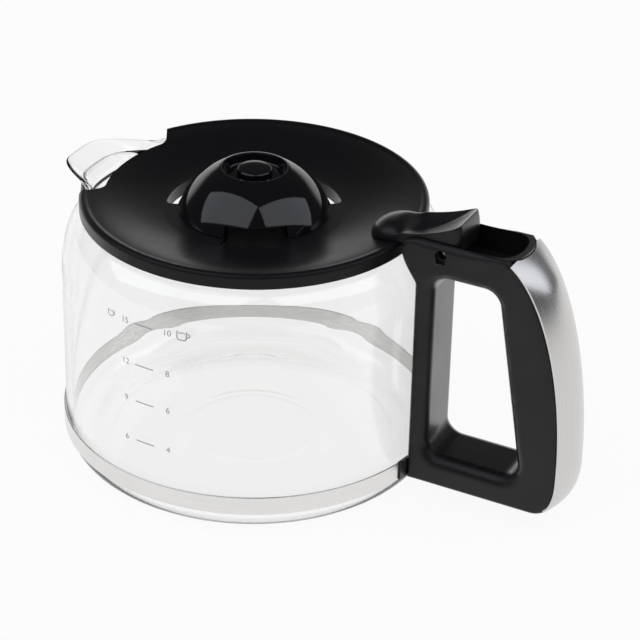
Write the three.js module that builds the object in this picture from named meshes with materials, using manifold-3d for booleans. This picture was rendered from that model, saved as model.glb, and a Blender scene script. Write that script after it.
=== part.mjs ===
// Glass coffee carafe: a blown jug in a steel base band, a moulded handle with a steel cover,
// and a hinged lid that a thumb lever lifts. Millimetres, +Z up. The origin is the middle of the
// base, the spout points to -X and the handle to +X, and the XZ plane is the plane of symmetry.

import * as THREE from 'three';
import { mergeVertices } from 'three/addons/utils/BufferGeometryUtils.js';
import Module from 'manifold-3d';

const wasm = await Module();
wasm.setup();

const DEGREE = Math.PI / 180;

// Clearances
const SEAT_GAP = 0.3;
const GLASS_GAP = 0.4;
const SWING_GAP = 0.7;
const CUT_MARGIN = 2;

// Glass jug
const BODY_RADIUS = 72;
const GLASS_WALL = 2.4;
const BASE_CORNER = 10;
const INNER_CORNER = 15;
const BASE_THICKNESS = 3;
const BASE_STEP_RADIUS = 26;
const BASE_STEP = 0.5;
const SHOULDER_HEIGHT = 12.6;
const NECK_RADIUS = 62;
const NECK_HEIGHT = 3.8;
const SHOULDER_FULLNESS = 0.9;
const NECK_EASE = 0.06;
const RIM_HEIGHT = 102;
const SPOUT_REACH = 16.2;
const SPOUT_DEPTH = 9;
const SPOUT_LIFT = 1;
const SPOUT_CURVE = 1.2;
const SPOUT_FLAT_ANGLE = 5.5 * DEGREE;
const SPOUT_HALF_ANGLE = 24.5 * DEGREE;
const SPOUT_CROWDING = 0.35;
const JUG_SEGMENTS = 48;

// Base band and its clamp
const BAND_THICKNESS = 0.6;
const BAND_BOTTOM = 9.3;
const BAND_HEIGHT = 7.4;
const CLAMP_THICKNESS = 1.3;
const CLAMP_OVERHANG = 3.8;
const LUG_LENGTH = 9;
const LUG_WIDTH = 12;
const LUG_HEIGHT = 2.8;
const LUG_RISE = 3.6;

// Handle
const HANDLE_WIDTH = 25;
const HANDLE_EDGE = 1.4;
const FOOT_BOTTOM = 8.4;
const FOOT_DEPTH = 11.6;
const HEEL_RUN = 9.9;
const FOOT_CORNER = 15.6;
const TOP_RISE = 7;
const TOP_LENGTH = 36.8;
const TOP_FALL = 1.1;
const WAIST = 1.1;
const WAIST_ROLL = 8;
const ARM_DEPTH = 14.5;
const LEG_THICKNESS = 6.6;
const GRIP_REACH = 59.6;
const GRIP_SHOULDER = 14.9;
const GRIP_BROW = 0.135;
const GRIP_BELLY = 0.427;
const GRIP_SWELL = 0.55;
const HEEL_ROUND = 0.6;
const HEEL_TUCK = 1.4;
const GAP_TOP_LENGTH = 24.8;
const GAP_BOTTOM_LENGTH = 37.4;
const GAP_CORNER = 6;
const GAP_EDGE = 5;
const EAR_WALL = 2;
const WELL_FLOOR = 4.7;
const WELL_LENGTH = 36.6;
const WELL_CORNER = 7;
const WELL_RIM = 2.3;
const WELL_TURN = 0.4;
const WELL_ROUND = 0.62;
const NOSE_REACH = 5.4;
const NOSE_WALL = 3.5;
const NOSE_RISE = 3;
const NOSE_ROUND = 9;
const NOSE_TURN = 2;
const FLARE_HEIGHT = 14;
const FLARE_TOP_EASE = 0.43;
const FLARE_LOW_EASE = 0.29;
const FLARE_LEAN = 0.45;
const HOOK_WIDTH = 12;
const HOOK_THICKNESS = 1.5;
const HOOK_DROP = 5.6;

// Steel cover of the handle
const COVER_WALL = 0.6;
const COVER_BULGE = 3.4;
const COVER_TOP_BULGE = 1.5;
const COVER_END = 0.94;
const HEEL_SHARE = 0.2;
const BROW_SHARE = 0.15;
const BACKING_DEPTH = 6;
const TAB_LENGTH = 11;
const TAB_WIDTH = 10;
const TAB_RISE = 3.9;
const TAB_SCREW_INSET = 4;

// Lid
const LID_RADIUS = 65;
const LIP_WALL = 1.7;
const LIP_DROP = 3.4;
const LIP_RISE = 2.2;
const BEAD_WIDTH = 3.4;
const BEAD_HEIGHT = 0.5;
const DISH_FALL = 5.7;
const DISH_WALL = 2;
const COLLAR_WALL = 2;
const COLLAR_DROP = 5;
const DISH_RIM_RUN = 0.27;
const DISH_RIM_DROP = 0.1;
const DISH_SEAT_RUN = 0.38;
const DISH_SEAT_RISE = 0.14;
const SEAT_RADIUS = 33.5;
const LID_HOLE_RADIUS = 25.5;
const NOTCH_RADIUS = 56;
const NOTCH_HALF_ANGLE = 30.5 * DEGREE;
const NOTCH_FLARE = 5.5 * DEGREE;
const NOTCH_ROUND = 4.5 * DEGREE;
const NOTCH_CORNER = 2;
const SLOT_RADIUS = 33;
const SLOT_HALF_ANGLE = 25 * DEGREE;
const SLOT_ROUND = 3;
const SLOT_AZIMUTHS = [180 * DEGREE, 60 * DEGREE, -60 * DEGREE];
const LID_SEGMENTS = 42;

// Dome on the lid
const DOME_RADIUS = 28.4;
const DOME_HEIGHT = 16.2;
const DOME_TOP_RADIUS = 12.9;
const DOME_WALL = 2;
const RECESS_DEPTH = 3.4;
const RECESS_LIP = 1;
const RECESS_CROWN = 0.2;
const BOSS_RADIUS = 6.6;
const BOSS_EDGE = 1.2;
const ARCH_HEIGHT = 4;
const SNAP_HALF_ANGLE = 9 * DEGREE;
const SNAP_WALL = 2.2;
const SNAP_DROP = 5.4;
const SNAP_BARB = 0.8;
const DOME_SEGMENTS = 36;

// Thumb lever and hinge pin
const HINGE_OFFSET = 9.6;
const HINGE_RISE = 2.6;
const PIN_RADIUS = 1.5;
const PIN_RECESS = 0.7;
const KEYHOLE_RADIUS = 2.3;
const KEYHOLE_DROP = 3;
const KEYHOLE_SLOT = 3.6;
const KEYHOLE_DEPTH = 1;
const BARREL_RADIUS = 4.3;
const TONGUE_FRONT = 15.6;
const TONGUE_RISE = 4;
const TONGUE_TIP = 2;
const TONGUE_SWELL = 0.3;
const TONGUE_BLUNTNESS = 6;
const TONGUE_ROUND = 0.75;
const TONGUE_CHEEK = 0.92;
const CREST_OFFSET = 3.8;
const CREST_RISE = 10.7;
const CREST_EDGE = 0.3;
const THUMB_DIP = 6;
const LEVER_BACK = 6.2;
const LEVER_BACK_RISE = 3.2;
const LEVER_TUCK = 1.8;
const SCOOP_DEPTH = 4.2;
const SCOOP_LENGTH = 24;
const SCOOP_OVERRUN = 2.2;
const SCOOP_BALL = 10;

// Screws
const SCREW_RADIUS = 1.3;
const SCREW_HEAD_RADIUS = 2.6;
const SCREW_HEAD = 1.4;
const SCREW_SEGMENTS = 16;
const SCREW_SINK = 0.2;
const LEVER_SCREW_SPACING = 7.6;
const LEVER_SCREW_LENGTH = 4.6;
const FOOT_SCREW_LENGTH = 6;
const DRIVE_REACH = 1.8;
const DRIVE_WIDTH = 0.8;
const DRIVE_DEPTH = 0.7;

// Places worked out from the sizes above
const handleX = BODY_RADIUS + GLASS_GAP;
const halfWidth = HANDLE_WIDTH / 2;
const handleTop = RIM_HEIGHT + TOP_RISE;
const gapTop = handleTop - ARM_DEPTH;
const wellHalfWidth = halfWidth - EAR_WALL;
const wellFloor = gapTop + WELL_FLOOR;
const hinge = { x: handleX + HINGE_OFFSET, z: RIM_HEIGHT + HINGE_RISE };
const noseX = handleX - NOSE_REACH;
const neckInner = NECK_RADIUS - GLASS_WALL;
const hookOuter = Math.sqrt((neckInner - GLASS_GAP) ** 2 - (HOOK_WIDTH / 2) ** 2);
const hookInner = hookOuter - HOOK_THICKNESS;
const hookTop = RIM_HEIGHT + SEAT_GAP + HOOK_THICKNESS;
const lidCrest = RIM_HEIGHT + LIP_RISE;
const dishEdge = LID_RADIUS - BEAD_WIDTH;
const dishEdgeTop = lidCrest - BEAD_HEIGHT;
const seatTop = dishEdgeTop - DISH_FALL;
const hookNotch = hookInner - SWING_GAP;
const tongueFront = LID_RADIUS - TONGUE_FRONT;
const tongueBottom = Math.max(hookTop, lidCrest) + SEAT_GAP;
const tongueTop = tongueBottom + TONGUE_RISE;
const crest = { x: hinge.x + CREST_OFFSET, z: hinge.z + CREST_RISE };
const leverHalfWidth = wellHalfWidth - SWING_GAP;
const clampInner = BODY_RADIUS + SEAT_GAP;
const clampOuter = clampInner + CLAMP_THICKNESS;
const clampHalfAngle = Math.asin((halfWidth + CLAMP_OVERHANG) / clampOuter);
const lugBottom = FOOT_BOTTOM + LUG_RISE;
const lugEnd = clampOuter + LUG_LENGTH;
const tabBottom = FOOT_BOTTOM + TAB_RISE;
const tabEnd = handleX + GRIP_REACH - TAB_LENGTH;
const footScrewZ = FOOT_BOTTOM + SCREW_SINK;
const bandScrewX = lugEnd - TAB_SCREW_INSET;
const coverScrewX = tabEnd + TAB_SCREW_INSET;
const leverScrewX = (tongueFront + hookNotch) / 2;

// Turns the faces of a closed mesh outwards, whichever way its outline ran
function outward(geometry) {
  const index = geometry.index.array;
  const p = geometry.attributes.position;
  const [a, b, c] = [new THREE.Vector3(), new THREE.Vector3(), new THREE.Vector3()];
  let volume = 0;
  for (let i = 0; i < index.length; i += 3) {
    a.fromBufferAttribute(p, index[i]);
    b.fromBufferAttribute(p, index[i + 1]);
    c.fromBufferAttribute(p, index[i + 2]);
    volume += a.dot(b.cross(c));
  }
  if (volume < 0) {
    for (let i = 0; i < index.length; i += 3) {
      [index[i], index[i + 1]] = [index[i + 1], index[i]];
    }
  }
  return geometry;
}

// A closed mesh as a solid that can be joined and cut
function solid(geometry) {
  const bare = geometry.clone();
  bare.deleteAttribute('normal');
  bare.deleteAttribute('uv');
  const merged = mergeVertices(bare, 1e-4);
  const triangles = [];
  const index = merged.index.array;
  for (let i = 0; i < index.length; i += 3) {
    const [a, b, c] = [index[i], index[i + 1], index[i + 2]];
    if (a !== b && b !== c && c !== a) triangles.push(a, b, c);
  }
  return new wasm.Manifold(new wasm.Mesh({
    numProp: 3,
    vertProperties: new Float32Array(merged.attributes.position.array),
    triVerts: new Uint32Array(triangles),
  }));
}

function toGeometry(body) {
  const mesh = body.getMesh();
  const geometry = new THREE.BufferGeometry();
  geometry.setAttribute('position', new THREE.BufferAttribute(mesh.vertProperties, 3));
  geometry.setIndex(new THREE.BufferAttribute(mesh.triVerts, 1));
  geometry.computeVertexNormals();
  return geometry;
}

// A profile of [radius, height] pairs, turned about the Z axis
function revolve(profile, segments) {
  const points = profile.map(([radius, height]) => new THREE.Vector2(radius, height));
  return outward(new THREE.LatheGeometry(points, segments).rotateX(Math.PI / 2));
}

// A side outline in X and Z, given its thickness along Y about the middle plane
function sideExtrude(shape, width, edge = 0, curveSegments = 10) {
  const geometry = new THREE.ExtrudeGeometry(shape, {
    depth: width - 2 * edge,
    curveSegments,
    bevelEnabled: edge > 0,
    bevelThickness: edge,
    bevelSize: edge,
    bevelOffset: -edge,
    bevelSegments: 3,
  });
  return geometry.translate(0, 0, edge - width / 2).rotateX(Math.PI / 2);
}

// A plan outline in X and Y, raised from one height to another
function planExtrude(shape, bottom, top, curveSegments = 12) {
  const options = { depth: top - bottom, curveSegments, bevelEnabled: false };
  return new THREE.ExtrudeGeometry(shape, options).translate(0, 0, bottom);
}

// The plan of a ring's sector between two radii, about the azimuth given
function sector(inner, outer, halfAngle, azimuth) {
  const shape = new THREE.Shape();
  shape.absarc(0, 0, outer, azimuth - halfAngle, azimuth + halfAngle, false);
  shape.absarc(0, 0, inner, azimuth + halfAngle, azimuth - halfAngle, true);
  shape.closePath();
  return shape;
}

function block(left, right, width, bottom, top) {
  return new THREE.BoxGeometry(right - left, width, top - bottom)
    .translate((left + right) / 2, 0, (bottom + top) / 2);
}

// A cylinder along Y, from one side of the middle plane to the other
function rod(radius, from, to, x, z) {
  return new THREE.CylinderGeometry(radius, radius, to - from, SCREW_SEGMENTS)
    .translate(x, (from + to) / 2, z);
}

// An upright cylinder
function post(radius, bottom, top, x, y) {
  return new THREE.CylinderGeometry(radius, radius, top - bottom, SCREW_SEGMENTS)
    .rotateX(Math.PI / 2)
    .translate(x, y, (bottom + top) / 2);
}

// A skin over sections of equal count, each a flat outline with a rule that places its points
function loft(sections) {
  const { outline } = sections[0];
  const count = outline.length;
  const positions = sections.flatMap((section) => (
    section.outline.flatMap((p) => section.place(p).toArray())
  ));
  const index = [];
  for (let row = 0; row + 1 < sections.length; row += 1) {
    for (let i = 0; i < count; i += 1) {
      const a = row * count + i;
      const b = row * count + ((i + 1) % count);
      index.push(a, b, b + count, a, b + count, a + count);
    }
  }
  const last = (sections.length - 1) * count;
  const clockwise = THREE.ShapeUtils.isClockWise(outline);
  for (const [a, b, c] of THREE.ShapeUtils.triangulateShape(outline, [])) {
    const [p, q] = clockwise ? [b, c] : [c, b];
    index.push(a, p, q, last + a, last + q, last + p);
  }
  const geometry = new THREE.BufferGeometry();
  geometry.setAttribute('position', new THREE.Float32BufferAttribute(positions, 3));
  geometry.setIndex(index);
  return outward(geometry);
}

// Evenly spaced numbers, ends included
function spread(from, to, steps) {
  return Array.from({ length: steps + 1 }, (_, i) => from + ((to - from) * i) / steps);
}

// Points of an arc in the profile plane, ends included
function arc(centreR, centreZ, radius, from, to, steps) {
  return spread(from, to, steps).map((angle) => (
    [centreR + radius * Math.cos(angle), centreZ + radius * Math.sin(angle)]
  ));
}

// The jug's shoulder, from the upright wall in to the neck, moved outwards by an offset
function shoulder(offset, steps) {
  const end = RIM_HEIGHT - NECK_HEIGHT;
  const start = end - SHOULDER_HEIGHT;
  const curve = new THREE.CubicBezierCurve(
    new THREE.Vector2(BODY_RADIUS, start),
    new THREE.Vector2(BODY_RADIUS, start + SHOULDER_FULLNESS * SHOULDER_HEIGHT),
    new THREE.Vector2(NECK_RADIUS, end - NECK_EASE * SHOULDER_HEIGHT),
    new THREE.Vector2(NECK_RADIUS, end),
  );
  return Array.from({ length: steps + 1 }, (_, i) => {
    const point = curve.getPoint(i / steps);
    const along = curve.getTangent(i / steps);
    return [point.x + along.y * offset, point.y - along.x * offset];
  });
}

// The spout is pulled out of the neck: the share of its reach at a height and azimuth
function spoutPull(height, azimuth) {
  const away = Math.PI - Math.abs(azimuth);
  const rise = Math.max(0, 1 - (RIM_HEIGHT - height) / SPOUT_DEPTH);
  return rise ** SPOUT_CURVE * (1 - THREE.MathUtils.smoothstep(away, SPOUT_FLAT_ANGLE, SPOUT_HALF_ANGLE));
}

function glassJug() {
  const inner = BODY_RADIUS - GLASS_WALL;
  const rimRadius = GLASS_WALL / 2;
  const floor = BASE_THICKNESS;
  const profile = [
    [0, 0],
    ...arc(BODY_RADIUS - BASE_CORNER, BASE_CORNER, BASE_CORNER, -Math.PI / 2, 0, 4),
    ...shoulder(0, 7),
    ...arc(NECK_RADIUS - rimRadius, RIM_HEIGHT - rimRadius, rimRadius, 0, Math.PI, 4),
    ...shoulder(-GLASS_WALL, 6).reverse(),
    ...arc(inner - INNER_CORNER, floor + INNER_CORNER, INNER_CORNER, 0, -Math.PI / 2, 4),
    [BASE_STEP_RADIUS + BASE_STEP, floor],
    [BASE_STEP_RADIUS - BASE_STEP, floor + BASE_STEP],
    [0, floor + BASE_STEP],
  ];
  const geometry = revolve(profile, JUG_SEGMENTS);
  const points = geometry.attributes.position;
  for (let i = 0; i < points.count; i += 1) {
    const radius = Math.hypot(points.getX(i), points.getY(i));
    const even = Math.atan2(points.getY(i), points.getX(i));
    const azimuth = even + SPOUT_CROWDING * Math.sin(even);
    const height = points.getZ(i);
    const pull = spoutPull(height, azimuth);
    const reach = radius + SPOUT_REACH * pull;
    points.setXYZ(i, reach * Math.cos(azimuth), reach * Math.sin(azimuth), height + SPOUT_LIFT * pull);
  }
  return geometry;
}

function baseBand() {
  const inner = BODY_RADIUS + SEAT_GAP;
  const halfAngle = Math.PI - clampHalfAngle - SEAT_GAP / inner;
  const shape = sector(inner, inner + BAND_THICKNESS, halfAngle, Math.PI);
  return planExtrude(shape, BAND_BOTTOM, BAND_BOTTOM + BAND_HEIGHT, 40);
}

function bandClamp() {
  const plan = sector(clampInner, clampOuter, clampHalfAngle, 0);
  const saddle = solid(planExtrude(plan, BAND_BOTTOM, BAND_BOTTOM + BAND_HEIGHT));
  const root = clampOuter - CLAMP_THICKNESS / 2;
  const lug = solid(block(root, lugEnd, LUG_WIDTH, lugBottom, lugBottom + LUG_HEIGHT));
  const hole = solid(post(SCREW_RADIUS + SEAT_GAP, 0, RIM_HEIGHT, bandScrewX, 0));
  return toGeometry(saddle.add(lug).subtract(hole));
}

// The back of the handle in the side plane, from the lever well down round the foot
function handleBack() {
  const top = new THREE.Vector2(handleX + TOP_LENGTH, handleTop - TOP_FALL);
  const low = new THREE.Vector2(handleX + GRIP_REACH, FOOT_BOTTOM + FOOT_CORNER);
  const heel = new THREE.Vector2(low.x - HEEL_RUN, FOOT_BOTTOM);
  const height = top.y - low.y;
  const path = new THREE.CurvePath();
  path.add(new THREE.CubicBezierCurve(
    top,
    new THREE.Vector2(top.x + GRIP_SHOULDER, top.y - GRIP_BROW * height),
    new THREE.Vector2(low.x + GRIP_SWELL, low.y + GRIP_BELLY * height),
    low,
  ));
  path.add(new THREE.CubicBezierCurve(
    low,
    new THREE.Vector2(low.x, FOOT_BOTTOM + HEEL_ROUND * FOOT_CORNER),
    new THREE.Vector2(low.x - HEEL_TUCK, FOOT_BOTTOM),
    heel,
  ));
  return path;
}

// Stations along the back, closer together round the heel
const coverShares = [
  ...spread(0, 1 - HEEL_SHARE, 14),
  ...spread(1 - HEEL_SHARE, COVER_END, 6).slice(1),
];
const backShares = [...coverShares, ...spread(COVER_END, 1, 3).slice(1)];

// How far the frame lies below the back line: the cover is let into it, flush with the heel
function coverRecess(share) {
  return share > COVER_END ? 0 : COVER_WALL + SEAT_GAP;
}

// Half the width of the back, drawn in at the waist of the grip
function backHalfWidth(share) {
  return halfWidth - WAIST * Math.sin(Math.PI * share);
}

// Sections across the back of the handle: an outline's first number runs across the width and
// its second outwards from the back line
function backSections(outlineOf, shares) {
  const path = handleBack();
  return shares.map((share) => {
    const point = path.getPointAt(share);
    const along = path.getTangentAt(share);
    const place = (p) => new THREE.Vector3(point.x - along.y * p.y, p.x, point.y + along.x * p.y);
    return { outline: outlineOf(share), place };
  });
}

// The crown across the back of the handle, sunk by a depth. It rises from the lever well to the
// grip and fades out round the heel.
function crown(depth, share, half = backHalfWidth(share), steps = 8) {
  const brow = THREE.MathUtils.smoothstep(share, 0, BROW_SHARE);
  const heel = Math.max(0, 1 - (1 - share) / HEEL_SHARE);
  const bulge = THREE.MathUtils.lerp(COVER_TOP_BULGE, COVER_BULGE, brow) * (1 - heel * heel);
  return spread(-1, 1, steps).map((across) => (
    new THREE.Vector2(across * half, bulge * (1 - across * across) - depth)
  ));
}

function handleCover() {
  const section = (share) => [...crown(0, share), ...crown(COVER_WALL, share).reverse()];
  const shell = solid(loft(backSections(section, coverShares)));
  const root = handleX + GRIP_REACH;
  const tab = solid(block(tabEnd, root, TAB_WIDTH, tabBottom, tabBottom + COVER_WALL));
  const hole = solid(post(SCREW_RADIUS + SEAT_GAP, 0, RIM_HEIGHT, coverScrewX, 0));
  return toGeometry(shell.subtract(wellRim(SEAT_GAP)).add(tab.subtract(hole)));
}

function handleOutline() {
  const shape = new THREE.Shape();
  const noseZ = RIM_HEIGHT + NOSE_RISE;
  const flareZ = noseZ - FLARE_HEIGHT;
  shape.moveTo(handleX, FOOT_BOTTOM);
  const edges = (share) => [new THREE.Vector2(0, -coverRecess(share))];
  for (const { outline, place } of backSections(edges, backShares).reverse()) {
    const point = place(outline[0]);
    shape.lineTo(point.x, point.z);
  }
  shape.lineTo(handleX + TOP_LENGTH - CUT_MARGIN, handleTop);
  shape.lineTo(noseX + NOSE_ROUND, handleTop);
  shape.quadraticCurveTo(noseX + NOSE_TURN, handleTop, noseX, noseZ);
  shape.bezierCurveTo(
    noseX, noseZ - FLARE_TOP_EASE * FLARE_HEIGHT,
    handleX - FLARE_LEAN * NOSE_REACH, flareZ + FLARE_LOW_EASE * FLARE_HEIGHT,
    handleX, flareZ,
  );
  return shape;
}

// The finger gap: a four-sided opening with round corners, whose edges roll out to both faces
function fingerGap() {
  const left = handleX + LEG_THICKNESS;
  const low = FOOT_BOTTOM + FOOT_DEPTH;
  const corners = [
    new THREE.Vector2(left, low),
    new THREE.Vector2(left + GAP_BOTTOM_LENGTH, low),
    new THREE.Vector2(left + GAP_TOP_LENGTH, gapTop),
    new THREE.Vector2(left, gapTop),
  ];
  const sides = corners.map((corner, i) => corners[(i + 1) % 4].clone().sub(corner).angle());
  const steps = 6;
  const outline = (spread) => corners.flatMap((corner, i) => {
    const before = sides[(i + 3) % 4];
    const turn = (sides[i] - before + 2 * Math.PI) % (2 * Math.PI);
    const middle = before + (turn + Math.PI) / 2;
    const inset = GAP_CORNER / Math.cos(turn / 2);
    const centreX = corner.x + inset * Math.cos(middle);
    const centreZ = corner.y + inset * Math.sin(middle);
    return Array.from({ length: steps + 1 }, (_, j) => {
      const angle = before - Math.PI / 2 + (turn * j) / steps;
      const radius = GAP_CORNER + spread;
      return new THREE.Vector2(centreX + radius * Math.cos(angle), centreZ + radius * Math.sin(angle));
    });
  });
  const rolls = [0, 1, 2, 3, 4].map((j) => (j * Math.PI) / 8);
  const side = [
    ...rolls.map((a) => [halfWidth - GAP_EDGE * (1 - Math.sin(a)), GAP_EDGE * (1 - Math.cos(a))]),
    [halfWidth + CUT_MARGIN, GAP_EDGE],
  ];
  const stations = [...side.map(([y, spread]) => [-y, spread]).reverse(), ...side];
  return loft(stations.map(([y, spread]) => ({
    outline: outline(spread),
    place: (p) => new THREE.Vector3(p.x, y, p.y),
  })));
}

// The well's plan, with a round rear end and its sides a distance from the middle plane
function wellPlan(front, rear, side) {
  const corner = rear - WELL_CORNER;
  const turn = rear - WELL_TURN * WELL_CORNER;
  const plan = new THREE.Shape();
  plan.moveTo(front, side);
  plan.lineTo(front, -side);
  plan.lineTo(corner, -side);
  plan.bezierCurveTo(turn, -side, rear, -WELL_ROUND * side, rear, 0);
  plan.bezierCurveTo(rear, WELL_ROUND * side, turn, side, corner, side);
  plan.closePath();
  return plan;
}

// The black rim round the rear of the well, grown by a gap for the cover's edge
function wellRim(gap) {
  const rear = handleX + WELL_LENGTH + WELL_RIM + gap;
  const side = halfWidth - HANDLE_EDGE + gap;
  const front = rear - WELL_CORNER - WELL_RIM;
  return solid(planExtrude(wellPlan(front, rear, side), gapTop, handleTop + gap, 6));
}

// The room that the lever swings in, open at the top
function leverWell() {
  const front = noseX + NOSE_WALL;
  const top = handleTop + 2 * CUT_MARGIN;
  const plan = wellPlan(front, handleX + WELL_LENGTH, wellHalfWidth);
  const room = solid(planExtrude(plan, wellFloor, top, 6));
  const mouth = solid(block(noseX - CUT_MARGIN, front + CUT_MARGIN, 2 * wellHalfWidth, hookTop, top));
  return room.add(mouth);
}

// The space that the jug takes inside the handle's nose, with its gap
function jugRoom() {
  const low = RIM_HEIGHT - NECK_HEIGHT - SHOULDER_HEIGHT - CUT_MARGIN;
  const outside = [[0, low], [handleX, low], ...shoulder(GLASS_GAP, 8)];
  return solid(revolve([...outside, [NECK_RADIUS + GLASS_GAP, RIM_HEIGHT], [0, RIM_HEIGHT]], JUG_SEGMENTS));
}

// The pin's hole through the ears, with the keyhole recess on each face
function pinHoles() {
  const face = halfWidth + CUT_MARGIN;
  const floor = halfWidth - KEYHOLE_DEPTH;
  let holes = solid(rod(PIN_RADIUS + SEAT_GAP, -face, face, hinge.x, hinge.z));
  for (const side of [-1, 1]) {
    const [from, to] = [side * floor, side * face].sort((a, b) => a - b);
    const slot = new THREE.BoxGeometry(KEYHOLE_SLOT, to - from, KEYHOLE_DROP)
      .translate(hinge.x, (from + to) / 2, hinge.z - KEYHOLE_DROP / 2);
    holes = holes.add(solid(rod(KEYHOLE_RADIUS, from, to, hinge.x, hinge.z))).add(solid(slot));
  }
  return holes;
}

// The hole for a screw driven up into the foot
function footScrewHole(x) {
  const headTop = footScrewZ + SCREW_HEAD + SEAT_GAP;
  const tip = footScrewZ + SCREW_HEAD + FOOT_SCREW_LENGTH + SEAT_GAP;
  const head = solid(post(SCREW_HEAD_RADIUS + SEAT_GAP, FOOT_BOTTOM - CUT_MARGIN, headTop, x, 0));
  return head.add(solid(post(SCREW_RADIUS + SEAT_GAP, FOOT_BOTTOM, tip, x, 0)));
}

// What is taken off one side of the grip so that its face rolls in to the waist of the back
function waistRoll(side) {
  const outside = halfWidth + CUT_MARGIN;
  const section = (share) => {
    const edge = backHalfWidth(share);
    const depth = coverRecess(share);
    const roll = spread(0, Math.PI / 2, 4).map((a) => [
      edge + (halfWidth - edge) * Math.sin(a),
      (WAIST_ROLL - depth) * (Math.cos(a) - 1) - depth,
    ]);
    const outline = [[edge, 2 * CUT_MARGIN], ...roll, [outside, -WAIST_ROLL], [outside, 2 * CUT_MARGIN]];
    return outline.map(([across, out]) => new THREE.Vector2(side * across, out));
  };
  return solid(loft(backSections(section, backShares)));
}

function handleFrame() {
  const backing = (share) => {
    const half = backHalfWidth(share) - (share > COVER_END ? HANDLE_EDGE : 0);
    return [
      ...crown(coverRecess(share), share, half),
      new THREE.Vector2(half, -BACKING_DEPTH),
      new THREE.Vector2(-half, -BACKING_DEPTH),
    ];
  };
  const bandTop = BAND_BOTTOM + BAND_HEIGHT + SEAT_GAP;
  const clampPlan = sector(BODY_RADIUS - CUT_MARGIN, clampOuter + SEAT_GAP, clampHalfAngle, 0);
  const clampRoom = solid(planExtrude(clampPlan, FOOT_BOTTOM - CUT_MARGIN, bandTop));
  const lugRoom = solid(block(
    clampInner,
    lugEnd + SEAT_GAP,
    LUG_WIDTH + 2 * SEAT_GAP,
    lugBottom - SEAT_GAP,
    lugBottom + LUG_HEIGHT + SEAT_GAP,
  ));
  const tabRoom = solid(block(
    tabEnd - SEAT_GAP,
    handleX + GRIP_REACH + 2 * CUT_MARGIN,
    TAB_WIDTH + 2 * SEAT_GAP,
    tabBottom - SEAT_GAP,
    tabBottom + COVER_WALL + SEAT_GAP,
  ));
  const strap = solid(block(hookInner, noseX + NOSE_WALL, HOOK_WIDTH, RIM_HEIGHT + SEAT_GAP, hookTop));
  const leg = solid(block(hookInner, hookOuter, HOOK_WIDTH, RIM_HEIGHT - HOOK_DROP, hookTop));
  const frame = solid(sideExtrude(handleOutline(), HANDLE_WIDTH, HANDLE_EDGE))
    .add(solid(loft(backSections(backing, backShares))))
    .subtract(waistRoll(-1))
    .subtract(waistRoll(1))
    .add(wellRim(0))
    .subtract(solid(fingerGap()))
    .subtract(leverWell())
    .subtract(jugRoom())
    .subtract(clampRoom)
    .subtract(lugRoom)
    .subtract(tabRoom)
    .subtract(pinHoles())
    .subtract(footScrewHole(bandScrewX))
    .subtract(footScrewHole(coverScrewX))
    .add(strap)
    .add(leg);
  return toGeometry(frame);
}

function hingePin() {
  const end = halfWidth - PIN_RECESS;
  return rod(PIN_RADIUS, -end, end, hinge.x, hinge.z);
}

// The top of the dish from the bead in to the seat of the dome
function dishTop() {
  const span = dishEdge - SEAT_RADIUS;
  return new THREE.CubicBezierCurve(
    new THREE.Vector2(dishEdge, dishEdgeTop),
    new THREE.Vector2(dishEdge - DISH_RIM_RUN * span, dishEdgeTop - DISH_RIM_DROP * DISH_FALL),
    new THREE.Vector2(SEAT_RADIUS + DISH_SEAT_RUN * span, seatTop + DISH_SEAT_RISE * DISH_FALL),
    new THREE.Vector2(SEAT_RADIUS, seatTop),
  );
}

// The height of the dish's top at a radius
function dishHeight(radius) {
  const points = dishTop().getPoints(40);
  const next = points.findIndex((p) => p.x <= radius);
  const [a, b] = [points[Math.max(next, 1) - 1], points[Math.max(next, 1)]];
  return b.y + ((a.y - b.y) * (radius - b.x)) / (a.x - b.x);
}

function notchPlan() {
  const at = (radius, away) => [-radius * Math.cos(away), radius * Math.sin(away)];
  const straight = NOTCH_HALF_ANGLE - NOTCH_FLARE;
  const corner = straight - NOTCH_ROUND / 2;
  const round = straight - NOTCH_ROUND;
  const far = LID_RADIUS + CUT_MARGIN;
  const shape = new THREE.Shape();
  shape.moveTo(...at(far, NOTCH_HALF_ANGLE));
  shape.lineTo(...at(NOTCH_RADIUS + NOTCH_CORNER, straight));
  shape.quadraticCurveTo(...at(NOTCH_RADIUS, corner), ...at(NOTCH_RADIUS, round));
  shape.absarc(0, 0, NOTCH_RADIUS, Math.PI - round, Math.PI + round, false);
  shape.quadraticCurveTo(...at(NOTCH_RADIUS, -corner), ...at(NOTCH_RADIUS + NOTCH_CORNER, -straight));
  shape.absarc(0, 0, far, Math.PI + NOTCH_HALF_ANGLE, Math.PI - NOTCH_HALF_ANGLE, true);
  return shape;
}

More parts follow.
